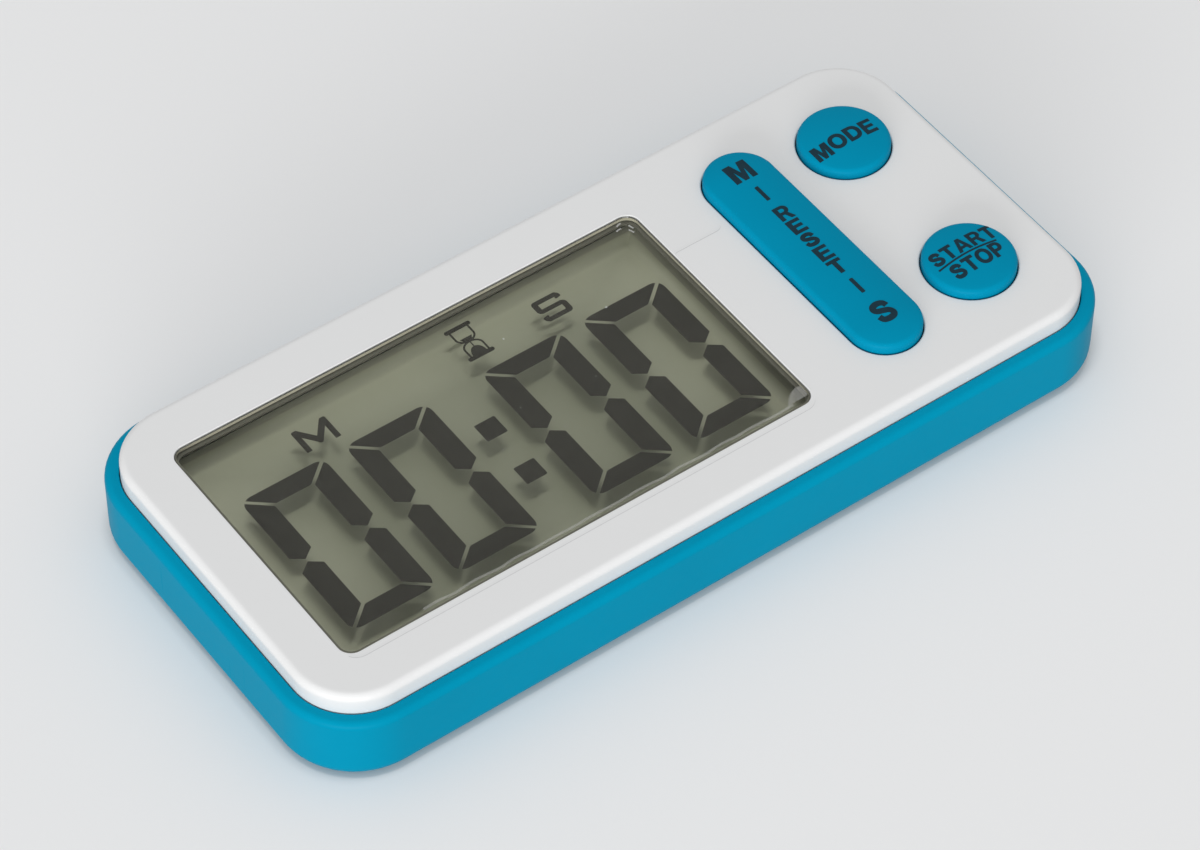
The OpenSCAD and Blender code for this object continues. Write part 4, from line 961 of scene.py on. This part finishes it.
# Painted highlights on the film: glints at one corner. Air trapped under the film: a hazy patch at
# another corner and a hazy line along the near edge
glint_half, z_air, z_air_top = 0.35, z_film_top + 0.01, z_film_top + 0.03
film_glints = merge("film_glints", [flat_shape("glint", [moved(ribbon(smooth_line(
    [(-glint_half * c, -glint_half * s), (0, 0.06), (glint_half * c, glint_half * s)], 3),
    0.2), x, y)], z_air, z_air_top)
    for x, y, c, s in [(13.35, 16.4, 1, 0.3), (12.9, 15.75, 1, 0.1), (14.35, 15.35, 0.3, -1),
                       (14.0, 14.8, 0.4, -1), (14.75, 16.95, 0.8, -0.6)]])
dress(film_glints, film_glint, "case")
haze_line = [(-37 + 2 * i, -17.12 + 0.07 * math.sin(2.3 * i) + 0.05 * math.sin(0.9 * i * i))
             for i in range(26)]
film_bubbles = merge("film_bubbles", [flat_shape(
    "bubble", [loop], z_air, z_air_top) for loop in (
        bent([(12.4, -16.9), (13.4, -15.7), (14.7, -15.2), (15.3, -15.3), (15.3, -16.9),
              (12.4, -16.9)], 0.6)[:-1],
        ribbon(smooth_line(haze_line, 3), 0.34))])
dress(film_bubbles, film_haze, "case")

# The display's two glasses, each with its polarizer
glass_l, front_w, rear_w, polarizer_l, polarizer_w = 67.0, 40.6, 38.6, 66.0, 38.0
z_rear_sheet, z_rear_glass, z_rear_glass_top = 8.99, 9.14, 9.65
z_front_glass, z_front_glass_top, z_front_sheet_top = 9.79, 10.3, 10.45


def layer(l, w, r, y, side):
    """Rings of one flat layer with the given side of (inset, height) points."""
    return [(inset_by(l, w, r, (window_x, y), 2)(d), z) for d, z in side]


front_glass = stack(
    "display_front_glass",
    layer(glass_l, front_w, 0.1, 0, bevelled(z_front_glass, z_front_glass_top, 0.05))
    + layer(polarizer_l, polarizer_w, 0.5, -1, [(0, z_front_glass_top), (0, z_front_sheet_top)]))
dress(front_glass, glass_clear, "case",
      ["lcd_front_polarizer", "lcd_front_glass"])
rear_glass = stack(
    "display_rear_glass",
    layer(polarizer_l, polarizer_w, 0.1, -1, [(0, z_rear_sheet), (0, z_rear_glass)])
    + layer(glass_l, rear_w, 0.1, -1, bevelled(z_rear_glass, z_rear_glass_top, 0.05)))
dress(rear_glass, glass_clear, "case",
      ["lcd_rear_glass", "lcd_rear_polarizer"])

# The reflector's face, which curves up to the tray's walls
dish_l, dish_w, dish_r, z_dish, dish_gap, dish_t = 64.0, 38.1, 1.3, 6.6, 0.02, 0.04
dish = [(0.3, z_dish - dish_t), (dish_gap, z_dish - dish_t), (dish_gap, z_dish + dish_r)]
dish += [(dish_gap + dish_r * (1 - math.cos(a)), z_dish + dish_r * (1 - math.sin(a)))
         for a in angles(90, 6)]
reflector_face = profiled("reflector_face", lambda d: rounded(
    dish_l - 2 * d, dish_w - 2 * d, 0.05, (window_x, display_y), 2), dish)
dress(reflector_face, reflector_with_painted_light, "case")

# ----------------------------------------------------------- display marks

digit_w, digit_h, stroke_w, stroke_h = 10.99, 22.2, 2.86, 2.4
digit_pitch, pair_pitch, mark_gap = 13.84, 32.3, 0.42
digits_at, dot_w, dot_rise, mark_t = (window_x + 0.4, -2.606), 2.75, 3.8, 0.03
minute_label_at, second_label_at = (window_x - 15.9, 11.85), (window_x + 16.62, 12.15)
hourglass_at, z_marks = (window_x + 5.95, 13.33), 9.7


def nought_strokes():
    """The six strokes of a nought, with slanted gaps between them."""
    whole = rounded(digit_w, digit_h, 1.3, steps=5)
    x1, y1, gap, shoulder = digit_w / 2, digit_h / 2, mark_gap / 2, 1.28
    lean = math.hypot(stroke_w, stroke_h)
    nx, ny = stroke_h / lean, -stroke_w / lean
    edge = nx * x1 + ny * y1
    slope = (shoulder - gap) / (stroke_w / 2)
    middle = x1 - stroke_w / 2
    side = top = whole
    for a, b, c in ((-1, 0, stroke_w - x1), (-nx, -ny, -edge - gap),
                    (-slope, -1, -gap - slope * middle), (slope, -1, -gap + slope * middle)):
        side = half_plane(side, a, b, c)
    for a, b, c in ((0, -1, stroke_h - y1), (nx, ny, edge - gap), (-nx, ny, edge - gap)):
        top = half_plane(top, a, b, c)
    strokes = [moved(side, 0, 0, sx, sy) for sx in (-1, 1) for sy in (-1, 1)]
    return strokes + [moved(top, 0, 0, 1, sy) for sy in (-1, 1)]


def display_m():
    """The display's M, with its upper corners cut."""
    w, h, s, c = 2.26, 1.75, 0.69, 0.15
    return [[(-w, -h), (-w + s, -h), (-w + s, 0.5), (-0.14, -h + 0.39), (0.14, -h + 0.39),
             (w - s, 0.5), (w - s, -h), (w, -h), (w, h - c), (w - c, h), (w - s, h),
             (0, -h + 1.5), (-w + s, h), (-w + c, h), (-w, h - c)]]


def display_s():
    """The display's S, whose second half is the first turned round."""
    half_way = [(1.1, 1.12), (1.06, 0.86), (1.18, 0.77), (1.78, 0.87), (1.88, 1.0), (1.78, 1.4),
                (1.4, 1.75), (-1.48, 1.75), (-1.78, 1.62), (-1.9, 1.33), (-1.9, 0.18),
                (-1.72, -0.14), (-1.35, -0.31), (1.18, -0.31), (1.18, -1.12)]
    return [half_way + moved(half_way, 0, 0, -1, -1)]


def display_hourglass():
    """Two end plates, a bowl over a dome, sand in the neck, a stream and a mound."""
    w, line, bulb_x, bulb_y, shoulder, plate_y = 1.75, 0.24, 1.22, 0.93, 0.95, 2.42
    loops = [rounded(2 * w, 0.58, 0.26, (0, sy * plate_y), 4) for sy in (-1, 1)]
    for sy in (-1, 1):
        bulb = [(-bulb_x, sy * plate_y)] + ellipse(
            0, sy * shoulder, bulb_x, bulb_y, 180, 180 + sy * 180, 20) + [(bulb_x, sy * plate_y)]
        loops.append(ribbon(bulb, line))
    loops.append([(-0.8, 0.7), (-0.58, 0.28), (-0.1, 0.02), (0.1, 0.02), (0.58, 0.28), (0.8, 0.7)])
    loops.append(rounded(0.15, 0.9, 0.03, (0.03, -0.5), 2))
    loops.append(ellipse(0, -plate_y, 0.94, 1.52, 0, 180, 16, 0.9))
    return loops


def mark(loops, at):
    """Marks of the display from outlines about a point."""
    return [flat_shape("mark", [moved(loop, *at)], z_marks, z_marks + mark_t) for loop in loops]


marks = []
for pair in (-1, 1):
    for digit in (-1, 1):
        x = digits_at[0] + (pair * pair_pitch + digit * digit_pitch) / 2
        marks += mark(nought_strokes(), (x, digits_at[1]))
for sy in (-1, 1):
    marks += mark([rounded(dot_w, dot_w, 0.15, (0, 0), 2)],
                  (digits_at[0], digits_at[1] + dot_rise * sy))
marks += mark(display_m(), minute_label_at)
marks += mark(display_s(), second_label_at)
hourglass = mark(display_hourglass(), hourglass_at)
marks.append(fuse(hourglass[0], *hourglass[1:]))
display_marks = merge("display_marks", marks)
dress(display_marks, mark_film, "case", ["lcd_segments"])

# -------------------------------------------------------------------- keys


def crown_profile(r, z_top):
    """Side, rounded edge and crowned top of a key, as (inset, height)."""
    side = edge_round(z_top - key_crown, key_edge, angles(80, 8))
    reach, rim = r - side[-1][0], side[-1][1]
    crown = [(r - reach * t, z_top - (z_top - rim) * t * t)
             for t in (0.9, 0.78, 0.65, 0.5, 0.35, 0.2, 0.1, 0.02)]
    return side + crown


def crown_height(r, z_top):
    """Height of a key's top and rounded edge at a distance from its middle line."""
    profile = crown_profile(r, z_top)
    reach, rim = r - profile[8][0], profile[8][1]

    def height(d):
        if d <= reach:
            return z_top - (z_top - rim) * (d / reach) ** 2
        a = math.acos(1 - max(r - d, 0) / key_edge)
        return z_top - key_crown - key_edge * (1 - math.sin(a))

    return height


def round_cap(name, side):
    """Round key: its pusher, hollow, flange, side and crowned top."""
    roof, foot, flange = z_button_top - key_crown - key_roof, z_key_foot, button_r + flange_w
    inner = button_r - key_wall
    under = [(pusher_r - 0.15, foot), (pusher_r, foot + 0.15), (pusher_r, roof - 0.2),
             (pusher_r + 0.2, roof), (inner - 0.3, roof), (inner, roof - 0.3),
             (inner, foot + 0.1), (inner + 0.1, foot), (flange - 0.1, foot),
             (flange, foot + 0.1), (flange, foot + flange_t - 0.1),
             (flange - 0.1, foot + flange_t), (button_r + 0.1, foot + flange_t),
             (button_r, foot + flange_t + 0.1),
             (button_r, z_button_top - key_crown - key_edge - 0.25)]
    top = [(button_r - d, z) for d, z in crown_profile(button_r, z_button_top)]
    return turned(name, under + top, (button_x, side * button_y), 20)


dress(round_cap("mode_cap", 1), key_blue, "mode_key", ["mode_button"])
dress(round_cap("start_cap", -1), key_blue, "start_key", ["start_button"])

roof = z_key_top - key_crown - key_roof
key_outline = inset_by(key_w, key_l, key_w / 2, (key_x, 0), 16)
long_key = profiled("long_key_cap", key_outline, [
    (key_wall + 0.3, roof), (key_wall, roof - 0.3), (key_wall, z_key_rim + 0.1),
    (key_wall - 0.1, z_key_rim), (0.1, z_key_rim), (0, z_key_rim + 0.1),
    (0, z_key_top - key_crown - key_edge - 0.25)] + crown_profile(key_w / 2, z_key_top))
for sy in (-1, 1):
    fuse(long_key, turned("post", [(pusher_r - 0.1, z_key_foot), (pusher_r, z_key_foot + 0.1),
                                   (pusher_r, roof + 0.2)], (key_x, sy * switch_y), 12))
for sx in (-1, 1):
    near, far = sorted([key_x + sx * (key_w / 2 - key_wall), key_x + sx * key_tab_w / 2])
    fuse(long_key, block("ear", (near, -key_tab_l / 2, z_key_ear),
                         (far, key_tab_l / 2, z_key_tab), 0.12))
cut(long_key, rod("pin_hole", 12, pivot_r, (key_x, 0, z_pivot), 8))
dress(long_key, key_blue, "long_key", ["rocker_key"])

# ------------------------------------------------------------ rubber domes

z_mat = node_box("keypad_mat")[1].z
foot_h, lip, web_t, key_travel = 0.4, 0.3, 0.45, 0.8


def rubber_dome(node, contact, key_body, joint, play):
    """Thin skirt that stays on the mat, and the boss on its top, which goes with the key."""
    low, high = node_box(node)
    at, r = ((low.x + high.x) / 2, (low.y + high.y) / 2), (high.y - low.y) / 2
    z_pill = node_box(contact)[1].z
    z_shoulder = z_pill + (high.z - z_pill) / 2
    z_hollow = z_pill + (high.z - z_pill) / 4
    hole = pusher_r + play
    skirt = hoop(node + "_skirt", [
        (r - 0.04, z_mat), (r, z_mat + 0.04), (r, z_mat + foot_h - 0.08),
        (r - 0.1, z_mat + foot_h + 0.02), (hole + 0.15, z_shoulder - 0.12),
        (hole, z_shoulder - 0.1), (hole, z_hollow + 0.1), (hole + 0.1, z_hollow),
        (r - web_t, z_mat + lip), (r - web_t, z_mat)], at, 12)
    dress(skirt, mat_rubber, "case", [node])
    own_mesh(skirt)
    boss = turned(node + "_boss", [
        (pusher_r - lip - 0.08, z_pill), (pusher_r - lip, z_pill + 0.08),
        (pusher_r - lip, z_hollow - 0.1), (pusher_r, z_hollow + 0.1),
        (pusher_r, high.z - 0.14), (pusher_r - 0.12, high.z - 0.02)], at, 12)
    dress(boss, mat_rubber, key_body)


for row in (("mode_dome", "mode_contact", "mode_key", "mode_press", 0.04),
            ("start_dome", "start_contact", "start_key", "start_press", 0.04),
            ("rocker_dome", "mode_contact", "key_carrier", "reset_press", 0.04),
            ("minute_dome", "minute_contact", "long_key", "reset_press", 0.15),
            ("second_dome", "second_contact", "long_key", "reset_press", 0.15)):
    rubber_dome(*row)

# ----------------------------------------------------------------- legends

# Each letter is one cap high, with its left edge at 0: its width and outlines
LETTERS = {
    "M": (1.0, [[(0, 0), (0, 1), (0.34, 1), (0.5, 0.42), (0.66, 1), (1, 1), (1, 0),
                 (0.75, 0), (0.75, 0.62), (0.6, 0), (0.4, 0), (0.25, 0.62), (0.25, 0)]]),
    "E": (0.78, [[(0, 0), (0, 1), (0.76, 1), (0.76, 0.79), (0.26, 0.79), (0.26, 0.61),
                  (0.71, 0.61), (0.71, 0.41), (0.26, 0.41), (0.26, 0.21), (0.78, 0.21),
                  (0.78, 0)]]),
    "T": (0.82, [[(0, 1), (0.82, 1), (0.82, 0.79), (0.54, 0.79), (0.54, 0), (0.28, 0),
                  (0.28, 0.79), (0, 0.79)]]),
    "A": (1.02, [[(0, 0), (0.37, 1), (0.65, 1), (1.02, 0), (0.76, 0), (0.69, 0.2), (0.33, 0.2),
                  (0.26, 0)], [(0.39, 0.39), (0.63, 0.39), (0.51, 0.74)]]),
    "O": (1.0, [ellipse(0.5, 0.5, 0.5, 0.52, 0, 348, 29, 0.92),
                ellipse(0.5, 0.5, 0.245, 0.3, 0, 348, 29, 0.92)]),
    "D": (0.9, [[(0, 0), (0, 1)] + ellipse(0.4, 0.5, 0.5, 0.5, 90, -90, 16, 0.92),
                [(0.26, 0.21), (0.26, 0.79)] + ellipse(0.39, 0.5, 0.26, 0.29, 90, -90, 16, 0.92)]),
    "P": (0.8, [[(0, 0), (0, 1)] + ellipse(0.46, 0.68, 0.34, 0.32, 90, -90)
                + [(0.26, 0.36), (0.26, 0)],
                [(0.26, 0.55), (0.26, 0.81)] + ellipse(0.43, 0.68, 0.12, 0.13, 90, -90)]),
    "R": (0.92, [[(0, 0), (0, 1)] + ellipse(0.51, 0.7, 0.36, 0.3, 90, -62)
                 + [(0.92, 0), (0.63, 0), (0.44, 0.37), (0.26, 0.37), (0.26, 0)],
                 [(0.26, 0.56), (0.26, 0.81)] + ellipse(0.48, 0.685, 0.13, 0.125, 90, -90)]),
    "S": (0.82, [ribbon(smooth_line(
        [(0.67, 0.66), (0.61, 0.81), (0.41, 0.88), (0.2, 0.83), (0.135, 0.7), (0.21, 0.585),
         (0.41, 0.515), (0.61, 0.435), (0.69, 0.29), (0.61, 0.16), (0.41, 0.115),
         (0.19, 0.165), (0.11, 0.345)]), 0.245)]),
}


def word(text, centre, cap, width, drops=()):
    """Outlines of a line of letters about its centre, one list per letter; each
    can sit lower than the line by its drop."""
    gap = 0.1
    total = sum(LETTERS[c][0] for c in text) + gap * (len(text) - 1)
    stretch, x, letters = width / (total * cap), -total / 2, []
    for i, c in enumerate(text):
        y = centre[1] - (drops[i] if drops else 0)
        letters.append([[(centre[0] + (x + px) * cap * stretch, y + (py - 0.5) * cap)
                         for px, py in loop] for loop in LETTERS[c][1]])
        x += LETTERS[c][0] + gap
    return letters


def sliced(piece, step):
    """Splits a flat piece along a grid, so that it can follow a curved top."""
    mesh = bmesh.new()
    mesh.from_mesh(piece.data)
    for axis in (0, 1):
        places = [v.co[axis] for v in mesh.verts]
        at = min(places) + step * MM
        while at < max(places):
            normal, point = [0, 0, 0], [0, 0, 0]
            normal[axis], point[axis] = 1, at
            bmesh.ops.bisect_plane(mesh, geom=mesh.verts[:] + mesh.edges[:] + mesh.faces[:],
                                   dist=1e-7, plane_co=point, plane_no=normal)
            at += step * MM
    bmesh.ops.triangulate(mesh, faces=mesh.faces[:])
    mesh.to_mesh(piece.data)
    mesh.free()
    return piece


ink_rise, ink_root = 0.03, -0.05


def legend(name, letters, top, body):
    """Printed lettering that lies on a key's crowned top."""
    pieces = []
    for loops in letters:
        piece = sliced(flat_shape("letter", loops, 0, 1), 0.4)
        for v in piece.data.vertices:
            rise = ink_rise if v.co.z / MM > 0.5 else ink_root
            v.co.z = (top(v.co.x / MM, v.co.y / MM) + rise) * MM
        pieces.append(piece)
    return dress(merge(name, pieces), key_ink, body)


button_top = crown_height(button_r, z_button_top)
key_top = crown_height(key_w / 2, z_key_top)


def on_button(side):
    """Height of a round key's top over a point."""
    return lambda x, y: button_top(math.hypot(x - button_x, y - side * button_y))


def on_key(x, y):
    """Height of the long key's top over a point."""
    return key_top(math.hypot(x - key_x, max(0, abs(y) - (key_l - key_w) / 2)))


legend("mode_legend", word("MODE", (42.15, 11.42), 2.22, 8.9, (0.3, 0.02, 0, 0.1)),
       on_button(1), "mode_key")
divider = [(38.1 + 0.4 * i, -11.55 + 0.28 * math.sin(math.pi * i / 21)) for i in range(22)]
start_letters = (word("START", (42.72, -9.92), 2.1, 9.0, (0.12, 0.06, 0, 0.03, 0.12))
                 + word("STOP", (42.72, -12.77), 2.2, 7.35, (0.12, 0.04, 0, 0)))
legend("start_legend", start_letters + [[ribbon(divider, 0.24)]], on_button(-1), "start_key")
column_x = 28.97
key_letters = (word("M", (column_x, 13.98), 3.1, 3.05)
               + word("S", (column_x, -12.85), 3.3, 2.62))
for letter, x, y in zip("RESET", (0.13, 0.08, 0.03, 0, 0), (5.8, 3.25, 0.72, -1.86, -4.42)):
    key_letters += word(letter, (column_x + x, y), 2.25, 1.9)
for y in (9.65, -8.05):
    key_letters.append([rounded(0.5, 2.54, 0.1, (column_x, y), 3)])
legend("long_key_legend", key_letters, on_key, "long_key")

# -------------------------------------------------------------------- back

door_x, door_y = cell_at
z_door, z_door_in, z_door_end = door_low.z, 1.3, door_high.z
ring_in = door_ring_r - 1
battery_door = turned("battery_cover", [
    (door_r - 0.35, z_door), (door_r - 0.1, z_door + 0.1), (door_r, z_door + 0.35),
    (door_r, z_door_in - 0.1), (door_r - 0.1, z_door_in), (door_ring_r, z_door_in),
    (door_ring_r, z_door_end - 0.1), (door_ring_r - 0.1, z_door_end),
    (ring_in + 0.1, z_door_end), (ring_in, z_door_end - 0.1), (ring_in, z_door_in)], cell_at, 28)
z_lug, lug_t, past = 2.0, 0.8, 15
lug = drum("lug", lug_r, z_lug, z_lug + lug_t, cell_at, 28)
cut(lug, drum("lug_bore", door_ring_r - 0.5, z_lug - 0.5, z_lug + lug_t + 0.4, cell_at, 28),
    block("lug_end", (door_x - past, door_y + lug_w / 2, 1), (door_x + past, door_y + past, 4)),
    block("lug_end", (door_x - past, door_y - past, 1), (door_x + past, door_y - lug_w / 2, 4)))
fuse(battery_door, lug)
coin_slot_l, coin_slot_w, coin_slot_depth = 16.5, 1.8, 0.6
cut(battery_door, back_cutter("coin_slot", inset_by(coin_slot_l, coin_slot_w, 0.6, cell_at, 5),
                              z_door + coin_slot_depth))
dress(battery_door, shell_blue, "door", ["battery_door"])

stand = block("stand_frame", (-stand_w / 2, stand_y - stand_l, stand_low.z),
              (stand_w / 2, stand_y, stand_high.z), 0.25)
fuse(stand, rod("barrel", stand_w, stand_t / 2, (0, stand_y, z_stand), 8, 0.12))
arm, foot, grip_l, grip_r, grip_from, grip_pitch = 6.0, 5.0, 14, 0.22, 1.1, 0.7
opening_at = (0, (stand_y - stand_l + foot + stand_y - arm) / 2)
cut(stand,
    profiled("opening", inset_by(stand_w - 2 * arm, stand_l - foot - arm, 0.8, opening_at, 5),
             [(-0.6, -0.5), (-0.1, 0.15), (0, 0.3), (0, 1.5), (-0.1, 1.65), (-0.6, 2.3)]),
    rod("pin_bore", 2 * stand_w, pin_hole_r, (0, stand_y, z_stand)))
for i in range(5):
    groove_y = stand_y - stand_l + grip_from + grip_pitch * i
    cut(stand, rod("grip_groove", grip_l, grip_r, (0, groove_y, stand_low.z - 0.08), 4))
dress(stand, shell_blue, "stand", ["stand_leg"])


def screw(name, at, z_head, head_r, head_t, r, length, cross_l, cross_w, cross_depth):
    """Pan-head screw with its head down, a cross recess and a coarse thread."""
    z = z_head + head_t
    profile = [(head_r * 0.7, z_head), (head_r * 0.93, z_head + head_t * 0.12),
               (head_r, z_head + head_t * 0.35), (head_r, z - 0.05), (head_r - 0.05, z),
               (r * 0.8, z)]
    pitch = r * 0.7
    turns = int((length - r) / pitch)
    for i in range(turns):
        base = z + 0.2 + i * pitch
        profile += [(r * 0.8, base), (r, base + pitch * 0.4), (r, base + pitch * 0.5),
                    (r * 0.8, base + pitch * 0.9)]
    profile += [(r * 0.75, z + length - r * 0.6), (r * 0.15, z + length)]
    made = turned(name, profile, at, 8)
    for l, w, narrow_l, narrow_w in ((cross_l, cross_w, 0.55, 0.7), (cross_w, cross_l, 0.7, 0.55)):
        arms = rounded(l, w, 0.05, at, 2)
        cut(made, stack("recess", [
            (arms, z_head - 0.3), (arms, z_head + 0.1),
            (rounded(l * narrow_l, w * narrow_w, 0.02, at, 2), z_head + cross_depth)]))
    return made


# Each kind's sizes are in the order that screw() takes them
for name, node, places, sizes in (
        ("case_screw_pair", "case_screws", screw_at,
         (1.4, 1.9, 1.2, 1.0, 6.0, 2.28, 0.5, 0.7)),
        ("board_screw_set", "board_screws", board_boss_at,
         (4.24, 1.5, 0.8, 0.8, 3.4, 1.8, 0.4, 0.4))):
    dress(merge(name, [screw("screw", at, *sizes) for at in places]), steel, "case",
          [node])
magnet_pair = merge("magnet_pair", [
    plate("magnet", magnet_l, magnet_w, 0.25, magnet_low.z, magnet_high.z, 0.15, at)
    for at in magnet_at])
dress(magnet_pair, magnet_dark, "case", ["magnets"])

# --------------------------------------------- pieces kept from the frame

KEPT = {
    reflector_with_painted_light: ["lcd_reflector"], tray_with_painted_shade: ["lcd_tray"],
    strip_rubber: ["lcd_contact_strip"], board_green: ["circuit_board"],
    chip_black: ["chip_cover"], chip_tan: ["board_chips"],
    mat_rubber: ["keypad_mat"],
    carbon_pill: ["mode_contact", "start_contact", "minute_contact", "second_contact"],
    carrier_white: ["rocker_carrier"],
    steel: ["quartz_crystal", "rocker_pin", "stand_pin"], cell_steel: ["coin_cell"],
    brass: ["cell_plus_spring", "cell_minus_spring", "buzzer_disc"],
    ceramic_white: ["buzzer_ceramic"], wire_red: ["buzzer_wires"],
}
for material, nodes in KEPT.items():
    for node in nodes:
        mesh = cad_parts[node].data
        mesh.materials.clear()
        mesh.materials.append(material)

# --------------------------------------------------------- floor and light

floor_material, tree, shader = blank_material("pale_floor")
surface = use_group(tree, moulded, {"Colour": (0.8, 0.805, 0.81, 1), "Shade Change": 0.01,
                                    "Patch Scale": 3.0, "Roughness": 0.8})
seen = add(tree, "LightPath").outputs
seen_floor = math_node(tree, "MAXIMUM", seen["Is Camera Ray"], math_node(
    tree, "MAXIMUM", seen["Is Glossy Ray"], seen["Is Transmission Ray"]))
feed(tree, shader, {
    "Base Color": mixed(tree, seen_floor, (0.5, 0.5, 0.5, 1), surface["Colour"]),
    "Roughness": surface["Roughness"]})
# From below the floor is clear
choice = add(tree, "MixShader", {
    0: add(tree, "NewGeometry").outputs["Backfacing"], 1: shader.outputs[0],
    2: add(tree, "BsdfTransparent").outputs[0]})
feed(tree, tree.nodes["Material Output"], {"Surface": choice.outputs[0]})
# The floor is open under the flat of the back, so that light reaches it there
floor_l, floor_r, z_floor = 6000, 2990, -0.02
floor_edges = rounded(floor_l, floor_l, floor_r, steps=16) + case_outline(back_edge - 0.1)
count = len(floor_edges) // 2
floor = make("floor", [(x, y, z_floor) for x, y in floor_edges],
             [(i, (i + 1) % count, count + (i + 1) % count, count + i) for i in range(count)])
floor.data.materials.append(floor_material)

world = bpy.data.worlds.new("studio")
scene.world = world
world.use_nodes = True
feed(world.node_tree, world.node_tree.nodes["Background"],
     {"Color": (1.0, 1.0, 1.0, 1), "Strength": 0.57})


def soft_box(name, at, size, power):
    """Soft oval lamp that faces the timer."""
    lamp = bpy.data.lights.new(name, "AREA")
    lamp.shape = "ELLIPSE"
    lamp.size, lamp.size_y = size
    lamp.energy = power
    holder = placed(name, lamp)
    holder.location = at
    holder.rotation_euler = Vector(at).to_track_quat("Z", "Y").to_euler()
    return holder


# The overhead lamps leave no glare in the lens, as if they were polarised
for name, x in (("overhead_left", -0.23), ("overhead_right", 0.03)):
    soft_box(name, (x, -0.04, 1.5), (0.26, 0.26), 3.2).visible_glossy = False
soft_box("front_left", (-1.68, -1.68, 0.38), (2.4, 0.6), 46)
